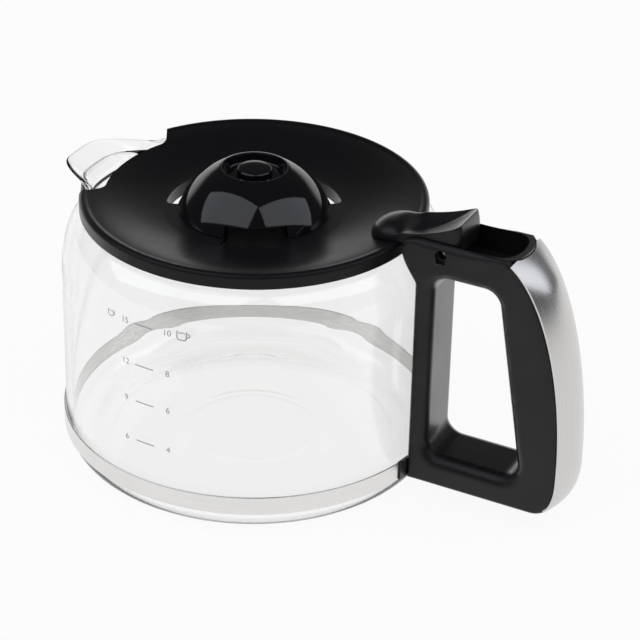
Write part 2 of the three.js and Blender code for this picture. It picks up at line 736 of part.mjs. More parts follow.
// A flow slot's plan, open to the lid's hole and round at its outer corners
function slotPlan(azimuth) {
  const at = (radius, away) => [radius * Math.cos(azimuth + away), radius * Math.sin(azimuth + away)];
  const inner = LID_HOLE_RADIUS - CUT_MARGIN;
  const turn = SLOT_ROUND / SLOT_RADIUS;
  const shape = new THREE.Shape();
  shape.moveTo(...at(inner, -SLOT_HALF_ANGLE));
  shape.lineTo(...at(SLOT_RADIUS - SLOT_ROUND, -SLOT_HALF_ANGLE));
  shape.quadraticCurveTo(...at(SLOT_RADIUS, -SLOT_HALF_ANGLE), ...at(SLOT_RADIUS, turn - SLOT_HALF_ANGLE));
  shape.absarc(0, 0, SLOT_RADIUS, azimuth + turn - SLOT_HALF_ANGLE, azimuth - turn + SLOT_HALF_ANGLE, false);
  shape.quadraticCurveTo(...at(SLOT_RADIUS, SLOT_HALF_ANGLE), ...at(SLOT_RADIUS - SLOT_ROUND, SLOT_HALF_ANGLE));
  shape.lineTo(...at(inner, SLOT_HALF_ANGLE));
  shape.closePath();
  return shape;
}

function lidDish() {
  const top = dishTop().getPoints(7).map((p) => [p.x, p.y]);
  const wall = neckInner - GLASS_GAP;
  const lipBottom = RIM_HEIGHT - LIP_DROP;
  const channelTop = RIM_HEIGHT + SEAT_GAP;
  const bead = BEAD_WIDTH / 2;
  const collar = SLOT_RADIUS + COLLAR_WALL;
  const collarBottom = seatTop - COLLAR_DROP;
  const under = top
    .filter(([radius]) => radius < wall && radius > collar)
    .map(([radius, z]) => [radius, z - DISH_WALL]);
  const profile = [
    [LID_RADIUS - LIP_WALL, lipBottom],
    [LID_RADIUS, lipBottom],
    ...arc(LID_RADIUS - bead, lidCrest - bead, bead, 0, Math.PI / 2, 3),
    [LID_RADIUS - 1.5 * bead, lidCrest - BEAD_HEIGHT / 3],
    ...top,
    [LID_HOLE_RADIUS, seatTop],
    [LID_HOLE_RADIUS, seatTop - DISH_WALL],
    [SLOT_RADIUS - COLLAR_WALL, seatTop - DISH_WALL],
    [SLOT_RADIUS - COLLAR_WALL, collarBottom],
    [collar, collarBottom],
    [collar, dishHeight(collar) - DISH_WALL],
    ...under.reverse(),
    [wall, dishHeight(wall) - DISH_WALL],
    [wall, channelTop],
    [LID_RADIUS - LIP_WALL, channelTop],
    [LID_RADIUS - LIP_WALL, lipBottom],
  ];
  const [low, high] = [collarBottom - CUT_MARGIN, lidCrest + CUT_MARGIN];
  const hookWidth = HOOK_WIDTH + 2 * SWING_GAP;
  let dish = solid(revolve(profile, LID_SEGMENTS))
    .subtract(solid(planExtrude(notchPlan(), low, high)))
    .subtract(solid(block(hookNotch, LID_RADIUS + CUT_MARGIN, hookWidth, low, high)));
  for (const azimuth of SLOT_AZIMUTHS) {
    dish = dish.subtract(solid(planExtrude(slotPlan(azimuth), low, high, 6)));
  }
  for (const y of [-LEVER_SCREW_SPACING / 2, LEVER_SCREW_SPACING / 2]) {
    dish = dish.subtract(solid(post(SCREW_RADIUS + SEAT_GAP, low, high, leverScrewX, y)));
  }
  return toGeometry(dish);
}

function lidDome() {
  const bottom = seatTop + SEAT_GAP;
  const top = bottom + DOME_HEIGHT;
  const drop = (DOME_RADIUS ** 2 - DOME_TOP_RADIUS ** 2 - DOME_HEIGHT ** 2) / (2 * DOME_HEIGHT);
  const ball = Math.hypot(DOME_RADIUS, drop);
  const centre = bottom - drop;
  const low = Math.atan2(drop, DOME_RADIUS);
  const high = Math.atan2(drop + DOME_HEIGHT, DOME_TOP_RADIUS);
  const inside = ball - DOME_WALL;
  const floor = top - RECESS_DEPTH;
  const ceiling = floor - DOME_WALL;
  const insideLow = Math.asin((bottom - centre) / inside);
  const insideHigh = Math.asin((ceiling - centre) / inside);
  const profile = [
    ...arc(0, centre, ball, low, high, 7),
    [DOME_TOP_RADIUS - RECESS_LIP / 2, top + RECESS_CROWN],
    [DOME_TOP_RADIUS - RECESS_LIP, top - RECESS_CROWN],
    [DOME_TOP_RADIUS - 1.5 * RECESS_LIP, floor],
    [BOSS_RADIUS, floor],
    [BOSS_RADIUS - BOSS_EDGE / 4, top - BOSS_EDGE],
    [BOSS_RADIUS - BOSS_EDGE, top - BOSS_EDGE / 3],
    [BOSS_RADIUS / 2, top],
    [0, top + RECESS_CROWN],
    [0, ceiling],
    ...arc(0, centre, inside, insideHigh, insideLow, 4),
    [DOME_RADIUS, bottom],
  ];
  let dome = solid(revolve(profile, DOME_SEGMENTS));
  const reach = DOME_RADIUS + CUT_MARGIN;
  for (const azimuth of SLOT_AZIMUTHS) {
    const arch = sector(BOSS_RADIUS, reach, SLOT_HALF_ANGLE, azimuth);
    dome = dome.subtract(solid(planExtrude(arch, bottom - CUT_MARGIN, bottom + ARCH_HEIGHT, 6)));
  }
  const snapOuter = LID_HOLE_RADIUS - SEAT_GAP;
  const snapInner = snapOuter - SNAP_WALL;
  const snapTop = bottom + ARCH_HEIGHT + SEAT_GAP;
  const snapBottom = seatTop - SNAP_DROP;
  const barbTop = seatTop - DISH_WALL - SEAT_GAP;
  const skirt = [
    [snapInner, snapBottom],
    [snapOuter, snapBottom],
    [snapOuter, snapTop],
    [snapInner, snapTop],
    [snapInner, snapBottom],
  ];
  dome = dome.add(solid(revolve(skirt, DOME_SEGMENTS)));
  for (const azimuth of SLOT_AZIMUTHS) {
    const barb = sector(snapInner, snapOuter + SNAP_BARB, SNAP_HALF_ANGLE, azimuth + Math.PI);
    dome = dome.add(solid(planExtrude(barb, barbTop - SNAP_BARB, barbTop, 4)));
  }
  return toGeometry(dome);
}

// The lever from the side: a tongue over the lid's bead, a thumb rest that rises to a crest, and
// a back wall that clears the floor of the well as it swings
function leverOutline() {
  const shape = new THREE.Shape();
  const seat = (x) => dishHeight(x) + GLASS_GAP;
  shape.moveTo(tongueFront, seat(tongueFront));
  shape.lineTo(hookNotch, seat(hookNotch));
  shape.lineTo(hookNotch, tongueBottom);
  shape.lineTo(noseX + NOSE_WALL, tongueBottom);
  shape.lineTo(hinge.x, hinge.z - BARREL_RADIUS + LEVER_TUCK / 3);
  shape.lineTo(hinge.x + BARREL_RADIUS, hinge.z - LEVER_TUCK);
  shape.lineTo(hinge.x + LEVER_BACK, hinge.z + LEVER_BACK_RISE);
  shape.lineTo(crest.x + CREST_EDGE, crest.z - CREST_EDGE);
  shape.lineTo(crest.x - CREST_EDGE, crest.z);
  shape.quadraticCurveTo(hinge.x - THUMB_DIP, tongueTop + 2 * TONGUE_SWELL, noseX, tongueTop);
  shape.quadraticCurveTo(
    tongueFront + TONGUE_BLUNTNESS / 2, tongueTop + TONGUE_SWELL,
    tongueFront, seat(tongueFront) + TONGUE_TIP,
  );
  shape.closePath();
  return shape;
}

// The tongue's plan: a blunt round front that widens to the lever's full width
function leverPlan() {
  const rear = hinge.x + LEVER_BACK + CUT_MARGIN;
  const shape = new THREE.Shape();
  shape.moveTo(rear, -leverHalfWidth);
  shape.lineTo(rear, leverHalfWidth);
  shape.lineTo(noseX, leverHalfWidth);
  shape.bezierCurveTo(
    tongueFront + TONGUE_BLUNTNESS, TONGUE_CHEEK * leverHalfWidth,
    tongueFront, TONGUE_ROUND * leverHalfWidth,
    tongueFront, 0,
  );
  shape.bezierCurveTo(
    tongueFront, -TONGUE_ROUND * leverHalfWidth,
    tongueFront + TONGUE_BLUNTNESS, -TONGUE_CHEEK * leverHalfWidth,
    noseX, -leverHalfWidth,
  );
  shape.closePath();
  return shape;
}

// The thumb scoop: a ball stretched along the slope between the tongue and the crest
function thumbScoop() {
  const slope = Math.asin((crest.z - tongueTop) / SCOOP_LENGTH);
  const footprint = Math.sqrt(1 - ((SCOOP_BALL - SCOOP_DEPTH) / SCOOP_BALL) ** 2);
  const along = SCOOP_LENGTH / 2 / footprint;
  const across = (leverHalfWidth + SCOOP_OVERRUN) / footprint;
  const middle = crest.x - (SCOOP_LENGTH / 2) * Math.cos(slope);
  const level = (crest.z + tongueTop) / 2 + SCOOP_BALL - SCOOP_DEPTH;
  return new THREE.SphereGeometry(1, 28, 18)
    .scale(along, across, SCOOP_BALL)
    .rotateY(-slope)
    .translate(middle, 0, level);
}

function thumbLever() {
  const [low, high] = [hinge.z - 2 * BARREL_RADIUS, hinge.z + 2 * CREST_RISE];
  let lever = solid(sideExtrude(leverOutline(), 2 * leverHalfWidth))
    .intersect(solid(planExtrude(leverPlan(), low, high)))
    .add(solid(rod(BARREL_RADIUS, -leverHalfWidth, leverHalfWidth, hinge.x, hinge.z)))
    .subtract(solid(thumbScoop()))
    .subtract(solid(rod(PIN_RADIUS + SEAT_GAP, -halfWidth, halfWidth, hinge.x, hinge.z)));
  const tip = leverScrewZ() + SCREW_HEAD + LEVER_SCREW_LENGTH + SEAT_GAP;
  for (const y of [-LEVER_SCREW_SPACING / 2, LEVER_SCREW_SPACING / 2]) {
    lever = lever.subtract(solid(post(SCREW_RADIUS + SEAT_GAP, low, tip, leverScrewX, y)));
  }
  return toGeometry(lever);
}

// The underside of a lever screw's head, so that the head seats below the dish
function leverScrewZ() {
  return dishHeight(leverScrewX - SCREW_HEAD_RADIUS) - DISH_WALL - SEAT_GAP - SCREW_HEAD;
}

// A screw standing on its head, with a cross recess in the head's face
function screw(length) {
  const body = solid(revolve([
    [0, 0],
    [SCREW_HEAD_RADIUS, 0],
    [SCREW_HEAD_RADIUS, SCREW_HEAD],
    [SCREW_RADIUS, SCREW_HEAD],
    [SCREW_RADIUS, SCREW_HEAD + length - SCREW_RADIUS],
    [0, SCREW_HEAD + length],
  ], SCREW_SEGMENTS));
  const half = DRIVE_WIDTH / 2;
  const bar = solid(block(-DRIVE_REACH, DRIVE_REACH, DRIVE_WIDTH, -DRIVE_DEPTH, DRIVE_DEPTH));
  const cross = solid(block(-half, half, 2 * DRIVE_REACH, -DRIVE_DEPTH, DRIVE_DEPTH));
  return toGeometry(body.subtract(bar).subtract(cross));
}

const finishes = {
  glass: { color: 0xe6eeec, roughness: 0.05, metalness: 0, transparent: true, opacity: 0.35 },
  steel: { color: 0xc9c7c4, roughness: 0.35, metalness: 1 },
  black: { color: 0x1b1b1d, roughness: 0.55, metalness: 0 },
  gloss: { color: 0x0b0b0d, roughness: 0.1, metalness: 0 },
};

function piece(name, geometry, finish, x = 0, y = 0, z = 0) {
  const mesh = new THREE.Mesh(geometry, new THREE.MeshStandardMaterial(finishes[finish]));
  mesh.name = name;
  mesh.position.set(x, y, z);
  return mesh;
}

const jug = new THREE.Group();
jug.add(
  piece('glass_jug', glassJug(), 'glass'),
  piece('base_band', baseBand(), 'steel'),
  piece('band_clamp', bandClamp(), 'black'),
  piece('handle_frame', handleFrame(), 'black'),
  piece('handle_cover', handleCover(), 'steel'),
  piece('hinge_pin', hingePin(), 'steel'),
  piece('band_screw', screw(FOOT_SCREW_LENGTH), 'steel', bandScrewX, 0, footScrewZ),
  piece('cover_screw', screw(FOOT_SCREW_LENGTH), 'steel', coverScrewX, 0, footScrewZ),
);

const lid = new THREE.Group();
const screwY = LEVER_SCREW_SPACING / 2;
lid.add(
  piece('lid_dish', lidDish(), 'black'),
  piece('lid_dome', lidDome(), 'gloss'),
  piece('thumb_lever', thumbLever(), 'black'),
  piece('lever_screw_left', screw(LEVER_SCREW_LENGTH), 'steel', leverScrewX, screwY, leverScrewZ()),
  piece('lever_screw_right', screw(LEVER_SCREW_LENGTH), 'steel', leverScrewX, -screwY, leverScrewZ()),
);

const carafe = new THREE.Group();
carafe.add(jug, lid);

export default carafe;
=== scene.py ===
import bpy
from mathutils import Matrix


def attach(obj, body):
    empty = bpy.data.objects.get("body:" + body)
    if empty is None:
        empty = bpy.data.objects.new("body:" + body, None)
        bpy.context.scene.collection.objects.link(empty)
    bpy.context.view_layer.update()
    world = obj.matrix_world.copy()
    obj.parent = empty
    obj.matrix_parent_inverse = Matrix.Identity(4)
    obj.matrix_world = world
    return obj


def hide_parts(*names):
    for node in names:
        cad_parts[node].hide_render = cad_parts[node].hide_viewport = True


bl_info = {
    "name": "Glass coffee carafe",
    "version": (1, 0, 0),
    "blender": (4, 5, 0),
    "location": "3D View > Sidebar > Carafe",
    "description": "Finer glass, steel and mouldings over the carafe's solids, with a studio to show it in",
    "category": "Add Mesh",
}

from math import asin, atan2, cos, hypot, pi, radians, remainder, sin

import bmesh
import bpy
from bpy.props import FloatProperty, FloatVectorProperty, IntProperty, PointerProperty
from bpy.types import Operator, Panel, PropertyGroup
from mathutils import Matrix, Vector

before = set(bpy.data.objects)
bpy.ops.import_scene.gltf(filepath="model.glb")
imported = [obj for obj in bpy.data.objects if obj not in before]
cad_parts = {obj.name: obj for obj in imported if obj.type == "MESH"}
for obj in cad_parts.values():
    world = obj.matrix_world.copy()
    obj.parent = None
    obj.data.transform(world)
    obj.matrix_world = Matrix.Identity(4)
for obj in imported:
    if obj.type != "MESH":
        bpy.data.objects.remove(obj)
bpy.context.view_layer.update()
MM = 0.001
WELD = 1e-7
GAP = 0.3 * MM
OVERSHOOT = 2 * MM

# Glass jug
BODY_RADIUS = 72 * MM
GLASS_WALL = 2.4 * MM
BASE_CORNER = 10 * MM
INNER_CORNER = 7.6 * MM
BASE_THICKNESS = 3 * MM
BASE_STEP_RADIUS = 26 * MM
BASE_STEP = 0.35 * MM
BASE_STEP_RUN = 1.2 * MM
BASE_RING_RADIUS = 54 * MM
BASE_RING = 0.2 * MM
SHOULDER_HEIGHT = 12.6 * MM
SHOULDER_FULLNESS = 0.9
SHOULDER_EASE = 13 * MM
NECK_EASE = 0.06
NECK_RADIUS = 62 * MM
NECK_HEIGHT = 3.8 * MM
RIM_HEIGHT = 102 * MM
SPOUT_REACH = 16.2 * MM
SPOUT_DEPTH = 9 * MM
SPOUT_LIFT = 1 * MM
SPOUT_CURVE = 1.2
SPOUT_FLAT_ANGLE = radians(5.5)
SPOUT_HALF_ANGLE = radians(24.5)

# Base band
BAND_GAP = 0.3 * MM
BAND_THICKNESS = 0.6 * MM
BAND_BOTTOM = 9.3 * MM
BAND_HEIGHT = 7.4 * MM
CLAMP_HALF_WIDTH = 16.3 * MM
CLAMP_RADIUS = 73.6 * MM
BAND_OPENING = asin(CLAMP_HALF_WIDTH / CLAMP_RADIUS) + BAND_GAP / (BODY_RADIUS + BAND_GAP)
BAND_HALF_ANGLE = pi - BAND_OPENING

# Handle
HANDLE_X = 72.4 * MM
HANDLE_HALF_WIDTH = 12.5 * MM
HANDLE_TOP = 109 * MM
FOOT_BOTTOM = 8.4 * MM
HEEL_RUN = 9.9 * MM
FOOT_CORNER = 15.6 * MM
TOP_LENGTH = 36.8 * MM
TOP_FALL = 1.1 * MM
TOP_EASE = 2 * MM
WAIST = 1.1 * MM
GRIP_REACH = 59.6 * MM
GRIP_SHOULDER = 14.9 * MM
GRIP_BROW = 0.135
GRIP_BELLY = 0.427
GRIP_SWELL = 0.55 * MM
HEEL_ROUND = 0.6
HEEL_TUCK = 1.4 * MM
COVER_WALL = 0.6 * MM
COVER_BULGE = 3.4 * MM
COVER_TOP_BULGE = 1.5 * MM
COVER_END = 0.94
HEEL_SHARE = 0.2
BROW_SHARE = 0.15
WAIST_ROLL = 8 * MM
BACKING_DEPTH = 6 * MM
HANDLE_EDGE = 1.4 * MM
ARM_EDGE = 3.2 * MM
ARM_EDGE_FROM = 92 * MM
ARM_EDGE_TO = 101 * MM
FOOT_DEPTH = 11.6 * MM
LEG_THICKNESS = 6.6 * MM
GAP_TOP = 94.5 * MM
GAP_TOP_LENGTH = 24.8 * MM
GAP_BOTTOM_LENGTH = 37.4 * MM
GAP_CORNER = 6 * MM
GAP_EDGE = 5 * MM
WELL_REAR = HANDLE_X + 36.6 * MM
WELL_RIM = 2.3 * MM
WELL_HALF_WIDTH = 10.5 * MM
WELL_FLOOR = 99.2 * MM
WELL_CORNER = 7 * MM
NOSE_X = 66.1 * MM
NOSE_WALL = 3.5 * MM
NOSE_Z = 105 * MM
NOSE_ROUND = 9 * MM
NOSE_TURN = 2 * MM
FLARE_HEIGHT = 14 * MM
FLARE_EASE = 2.43 * MM
ARM_EDGE_START = (NOSE_X + 2 * MM, NOSE_X + 11 * MM)
ARM_EDGE_STOP = (92 * MM, 103 * MM)
HOOK_TOP = 103.8 * MM
HINGE = (82 * MM, 104.6 * MM)
PIN_HOLE = 1.8 * MM
KEYHOLE_RADIUS = 2.3 * MM
KEYHOLE_DROP = 3 * MM
KEYHOLE_SLOT = 3.6 * MM
KEYHOLE_DEPTH = 1.7 * MM
PIN_SETBACK = 3.2 * MM
PIN_DOME = 0.45 * MM
JUG_ROOM_GAP = 0.4 * MM

# Lid
LID_RADIUS = 65 * MM
LIP_WALL = 1.7 * MM
LIP_DROP = 3.4 * MM
LIP_EDGE = 0.35 * MM
LID_CREST = 104.2 * MM
BEAD_WIDTH = 3.4 * MM
BEAD_HEIGHT = 0.5 * MM
BEAD_FALL = ((1.25, 0.06), (1.5, 0.33), (1.75, 0.7))
DISH_FALL = 5.7 * MM
DISH_WALL = 2 * MM
DISH_EDGE = LID_RADIUS - BEAD_WIDTH
DISH_EDGE_TOP = LID_CREST - BEAD_HEIGHT
SEAT_TOP = DISH_EDGE_TOP - DISH_FALL
COLLAR_WALL = 2 * MM
COLLAR_DROP = 5 * MM
SEAT_RADIUS = 33.5 * MM
LID_HOLE_RADIUS = 25.5 * MM
LID_WALL_RADIUS = 59.2 * MM
NOTCH_RADIUS = 56 * MM
NOTCH_HALF_ANGLE = radians(30.5)
NOTCH_FLARE = radians(5.5)
NOTCH_ROUND = radians(4.5)
NOTCH_CORNER = 2 * MM
SLOT_RADIUS = 33 * MM
SLOT_HALF_ANGLE = radians(25)
SLOT_ROUND = 3 * MM
SLOT_AZIMUTHS = [radians(a) for a in (180, 60, -60)]
HOOK_NOTCH = 56.72 * MM
HOOK_HALF_WIDTH = 6.7 * MM
SCREW_YS = (-3.8 * MM, 3.8 * MM)
SCREW_X = 53.06 * MM
SCREW_HOLE = 1.6 * MM

# Dome
DOME_RADIUS = 28.4 * MM
DOME_HEIGHT = 16.2 * MM
DOME_TOP_RADIUS = 12.9 * MM
DOME_WALL = 2 * MM
RECESS_DEPTH = 3.4 * MM
RECESS_LIP = 1 * MM
BOSS_RADIUS = 6.6 * MM
BOSS_EDGE = 1.2 * MM
BOSS_CROWN = 0.2 * MM
ARCH_HEIGHT = 4 * MM
SNAP_HALF_ANGLE = radians(9)
SNAP_WALL = 2.2 * MM
SNAP_DROP = 5.4 * MM
SNAP_BARB = 0.8 * MM

# Thumb lever
TONGUE_FRONT = 49.4 * MM
TONGUE_RUN = 11 * MM
TONGUE_TOP = 108.7 * MM
TONGUE_EDGE = 1.2 * MM
TONGUE_SWELL = 1.7 * MM
LEVER_REAR = 87.2 * MM
LEVER_CORNER = 3.2 * MM
LEVER_HALF_WIDTH = 9.8 * MM
LEVER_CENTRE = 68 * MM
LEVER_EDGE = 0.5 * MM
LEVER_SWELL = 0.05
LEVER_LIFT = 0.4 * MM
RIM_FROM = 66 * MM
RIM_RISE = (0.2124, 5.35, 60)
BOWL_FROM = (59 * MM, 67 * MM)
SCOOP_FROM = (60 * MM, 70 * MM)
SCOOP_DEPTH = 3.7 * MM
LEVER_UNDER = (
    (HOOK_NOTCH + 0.6 * MM, 104.5 * MM), (70.5 * MM, 104.5 * MM), (78 * MM, 101.8 * MM),
    (82 * MM, 100.9 * MM), (86 * MM, 102.8 * MM), (LEVER_REAR, 104 * MM))

# Cup marks
MARK_HEIGHTS = [81.05 * MM, 64.2 * MM, 48.9 * MM, 32.2 * MM]
SMALL_CUPS = ["15", "12", "9", "6"]
LARGE_CUPS = ["10", "8", "6", "4"]
MARK_AZIMUTH = radians(-94)
MARK_WIDTH = 0.4 * MM
NUMERAL_GAP = 5.1 * MM
NUMERAL_SHIFT = 0.7 * MM
CAP_SHARE = 0.7
ICON_GAP = 11.5 * MM
ICON_LIFT = 0.3 * MM
INK_LIFT = 0.02 * MM
INK_DEPTH = 0.03 * MM

# Studio: each softbox has a name, azimuth, elevation, width, height and roll
SOFTBOXES = (("Softbox left", -124, 49, 1.75, 0.85, 25), ("Softbox right", 8, 42, 1.7, 0.7, -30))
SOFTBOX_TARGET = Vector((0, 0, 0.09))
SOFTBOX_DISTANCE = 1.15
SOFTBOX_COLOUR = (0.9, 0.92, 1.0)
FLOOR_GLOW = 0.93
BEHIND = (-0.454, 0.891, 0)
SWEEP_EDGE = (0.55, 0.8)
SWEEP_TOP = (0.1, 0.4)
CAMERA_PLACE = Vector((0.3985, -0.7262, 0.5226))
CAMERA_TARGET = Vector((0.0226, 0.0115, 0.0502))
CAMERA_ROLL = 1.345
CAMERA_LENS = 140.6


# Properties

class CarafeFinishes(PropertyGroup):
    glass_tint: FloatVectorProperty(
        name="Glass tint", description="Colour of the clear glass",
        subtype="COLOR", default=(0.952, 0.953, 0.95), min=0, max=1)
    cover_colour: FloatVectorProperty(
        name="Cover colour", description="Colour of the steel cover of the grip",
        subtype="COLOR", default=(0.66, 0.65, 0.64), min=0, max=1)
    steel_colour: FloatVectorProperty(
        name="Steel", description="Colour of the band round the base",
        subtype="COLOR", default=(0.80, 0.79, 0.78), min=0, max=1)
    moulding_colour: FloatVectorProperty(
        name="Moulding", description="Colour of the black mouldings",
        subtype="COLOR", default=(0.006, 0.006, 0.007), min=0, max=1)
    ink_colour: FloatVectorProperty(
        name="Ink", description="Colour of the cup marks",
        subtype="COLOR", default=(0.42, 0.42, 0.43), min=0, max=1)


class CarafeDetail(PropertyGroup):
    round_steps: IntProperty(
        name="Round steps", description="Steps round the jug and the lid", default=192, min=48, max=512)
    mark_height: FloatProperty(
        name="Numeral height", description="Height of the cup numerals",
        unit="LENGTH", default=2.4 * MM, min=1 * MM, max=10 * MM)
    mark_line: FloatProperty(
        name="Line length", description="Length of each graduation line",
        unit="LENGTH", default=7.8 * MM, min=1 * MM, max=30 * MM)


class CarafeStudio(PropertyGroup):
    softbox_strength: FloatProperty(
        name="Softboxes", description="Brightness of the softboxes' faces", default=1.3, min=0, max=20)
    ambient: FloatProperty(
        name="Ambient", description="Strength of the even light from all round", default=0.35, min=0, max=2)
    room: FloatProperty(
        name="Room", description="Strength of the dim room that shiny surfaces mirror", default=0.06, min=0, max=1)
    floor_colour: FloatVectorProperty(
        name="Floor", description="Colour of the pale floor",
        subtype="COLOR", default=(0.86, 0.86, 0.86), min=0, max=1)


# Mesh helpers

def spread(start, end, steps):
    return [start + (end - start) * i / steps for i in range(steps + 1)]


def smoothstep(x, low, high):
    t = min(1.0, max(0.0, (x - low) / (high - low)))
    return t * t * (3 - 2 * t)


def bezier(points, t):
    a, b, c, d = points
    s = 1 - t
    return tuple(
        s * s * s * a[i] + 3 * s * s * t * b[i] + 3 * s * t * t * c[i] + t * t * t * d[i]
        for i in range(2))


def bezier_slope(points, t):
    a, b, c, d = points
    s = 1 - t
    dx, dy = (
        3 * s * s * (b[i] - a[i]) + 6 * s * t * (c[i] - b[i]) + 3 * t * t * (d[i] - c[i])
        for i in range(2))
    length = hypot(dx, dy)
    return dx / length, dy / length


def arc(centre_r, centre_z, radius, start, end, steps):
    return [(centre_r + radius * cos(a), centre_z + radius * sin(a)) for a in spread(start, end, steps)]


def polar(radius, azimuth):
    return radius * cos(azimuth), radius * sin(azimuth)


def bend(start, corner, end, steps):
    """Points of a rounded corner, ends included"""
    points = []
    for t in spread(0, 1, steps):
        s = 1 - t
        points.append(tuple(s * s * start[i] + 2 * s * t * corner[i] + t * t * end[i] for i in range(2)))
    return points


def circle(radius, x, y, steps=24):
    return arc(x, y, radius, 0, 2 * pi, steps)[:-1]


def linked(name, data):
    """A new object in the scene's collection"""
    obj = bpy.data.objects.new(name, data)
    bpy.context.collection.objects.link(obj)
    return obj


def evaluated_mesh(obj):
    graph = bpy.context.evaluated_depsgraph_get()
    return bpy.data.meshes.new_from_object(obj.evaluated_get(graph))


def triangulate(bm):
    bmesh.ops.triangulate(bm, faces=bm.faces, quad_method="BEAUTY", ngon_method="EAR_CLIP")


def mesh_of(bm, triangles=True):
    """Welds a bmesh, turns its faces outwards and makes a mesh of it"""
    bmesh.ops.remove_doubles(bm, verts=bm.verts, dist=WELD)
    bmesh.ops.recalc_face_normals(bm, faces=bm.faces)
    if triangles:
        triangulate(bm)
    mesh = bpy.data.meshes.new("form")
    bm.to_mesh(mesh)
    bm.free()
    return mesh


def weigh_normals(obj):
    obj.modifiers.new("Face weight", "WEIGHTED_NORMAL").keep_sharp = True


def piece(name, mesh, material, body, sharp=40):
    """Makes an object of a mesh, shades it, finishes it and lets it ride on a body"""
    mesh.name = name
    mesh.polygons.foreach_set("use_smooth", [True] * len(mesh.polygons))
    mesh.set_sharp_from_angle(angle=radians(sharp))
    mesh.materials.clear()
    mesh.materials.append(material)
    obj = linked(name, mesh)
    weigh_normals(obj)
    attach(obj, body)
    return obj


def skin(bm, rings):
    """Adds the faces between each two rings of vertices, in which a vertex may repeat"""
    count = len(rings[0])
    for low, high in zip(rings, rings[1:]):
        for i in range(count):
            j = (i + 1) % count
            corners = list(dict.fromkeys((low[i], low[j], high[j], high[i])))
            if len(corners) > 2:
                bm.faces.new(corners)


def loft(rings):
    """A bmesh through rings of the same number of points, closed at both ends"""
    bm = bmesh.new()
    rows = [[bm.verts.new(p) for p in ring] for ring in rings]
    skin(bm, rows)
    bm.faces.new(rows[0])
    bm.faces.new(list(reversed(rows[-1])))
    return bm


def prism(outline, bottom, top):
    """A bmesh of a plan outline raised from one height to another"""
    return loft([[(x, y, z) for x, y in outline] for z in (bottom, top)])


def box(x0, x1, width, z0, z1):
    half = width / 2
    return prism([(x0, -half), (x1, -half), (x1, half), (x0, half)], z0, z1)


def post(radius, z0, z1, x, y):
    return prism(circle(radius, x, y), z0, z1)


def lying(stations, x, z, steps=40):
    """A round bar along Y through (radius, y) stations"""
    return loft([[(px, y, pz) for px, pz in circle(r, x, z, steps)] for r, y in stations])


def lathe(profile, segments, place=None):
    """A bmesh of a profile of (radius, height) pairs turned about Z, closed on the axis or on itself"""
    place = place or (lambda r, a, z: (*polar(r, a), z))
    angles = spread(0, 2 * pi, segments)[:-1]
    bm = bmesh.new()
    rings = []
    for radius, z in profile:
        if radius < WELD:
            rings.append([bm.verts.new((0, 0, z))] * segments)
        else:
            rings.append([bm.verts.new(place(radius, a, z)) for a in angles])
    if profile[0][0] > WELD:
        rings.append(rings[0])
    skin(bm, rings)
    return bm


def cut(*forms):
    return [("DIFFERENCE", form) for form in forms]


def combined(body, tools):
    """The mesh of a body after each (operation, bmesh) pair is joined to it or cut from it"""
    base, *helpers = [linked("form", mesh_of(bm)) for bm in (body, *[bm for _, bm in tools])]
    for (operation, _), helper in zip(tools, helpers):
        modifier = base.modifiers.new("step", "BOOLEAN")
        modifier.operation = operation
        modifier.solver = "MANIFOLD"
        modifier.object = helper
    mesh = evaluated_mesh(base)
    bm = bmesh.new()
    bm.from_mesh(mesh)
    triangulate(bm)
    bmesh.ops.dissolve_degenerate(bm, edges=bm.edges, dist=10 * WELD)
    bm.to_mesh(mesh)
    bm.free()
    for obj in (base, *helpers):
        old = obj.data
        bpy.data.objects.remove(obj)
        bpy.data.meshes.remove(old)
    return mesh


# Shader helpers

def feed(tree, node, values):
    """Links a node's inputs to sockets that vary, and sets the others to plain values"""
    for key, value in values.items():
        if isinstance(value, bpy.types.NodeSocket):
            tree.links.new(value, node.inputs[key])
        else:
            node.inputs[key].default_value = value
    return node


def add_node(tree, kind, values, **settings):
    node = tree.nodes.new(kind)
    for name, value in settings.items():
        setattr(node, name, value)
    return feed(tree, node, values)


def calculate(tree, operation, *values):
    return add_node(tree, "ShaderNodeMath", dict(enumerate(values)), operation=operation).outputs["Value"]


def noise(tree, scale, detail, vector):
    node = add_node(tree, "ShaderNodeTexNoise", {"Scale": scale, "Detail": detail, "Vector": vector})
    return node.outputs["Fac"]


def ramp(tree, value, start, end, low, high, kind="LINEAR"):
    """A value that runs from low to high as another runs from start to end"""
    values = {"Value": value, "From Min": start, "From Max": end, "To Min": low, "To Max": high}
    return add_node(tree, "ShaderNodeMapRange", values, interpolation_type=kind).outputs["Result"]


def noise_ramp(tree, value, low, high):
    return ramp(tree, value, 0.3, 0.7, low, high)


def moulded_grain(tree, start, place):
    """Fine grain of a moulded surface, with slow changes of gloss over it"""
    fine = noise(tree, start["Grain scale"], 3, place)
    slow = noise(tree, 55.0, 4, place)
    return {"Height": fine, "Roughness": noise_ramp(tree, slow, start["Gloss low"], start["Gloss high"])}


def brushed_lines(tree, start, place):
    """Fine lines along a metal strip: the stretch says how fast they change along each axis"""
    stretched = add_node(tree, "ShaderNodeVectorMath", {0: place, 1: start["Stretch"]}, operation="MULTIPLY")
    lines = noise(tree, 1.0, 5, stretched.outputs["Vector"])
    slow = noise(tree, 45.0, 3, place)
    mixed = calculate(tree, "MULTIPLY_ADD", lines, 0.7, calculate(tree, "MULTIPLY", slow, 0.3))
    tones = {"Factor": noise_ramp(tree, mixed, 0.0, 1.0), "A": start["Dark"], "B": start["Light"]}
    tone = add_node(tree, "ShaderNodeMix", tones, data_type="RGBA")
    return {"Color": tone.outputs["Result"], "Height": lines,
            "Roughness": noise_ramp(tree, mixed, start["Gloss low"], start["Gloss high"])}


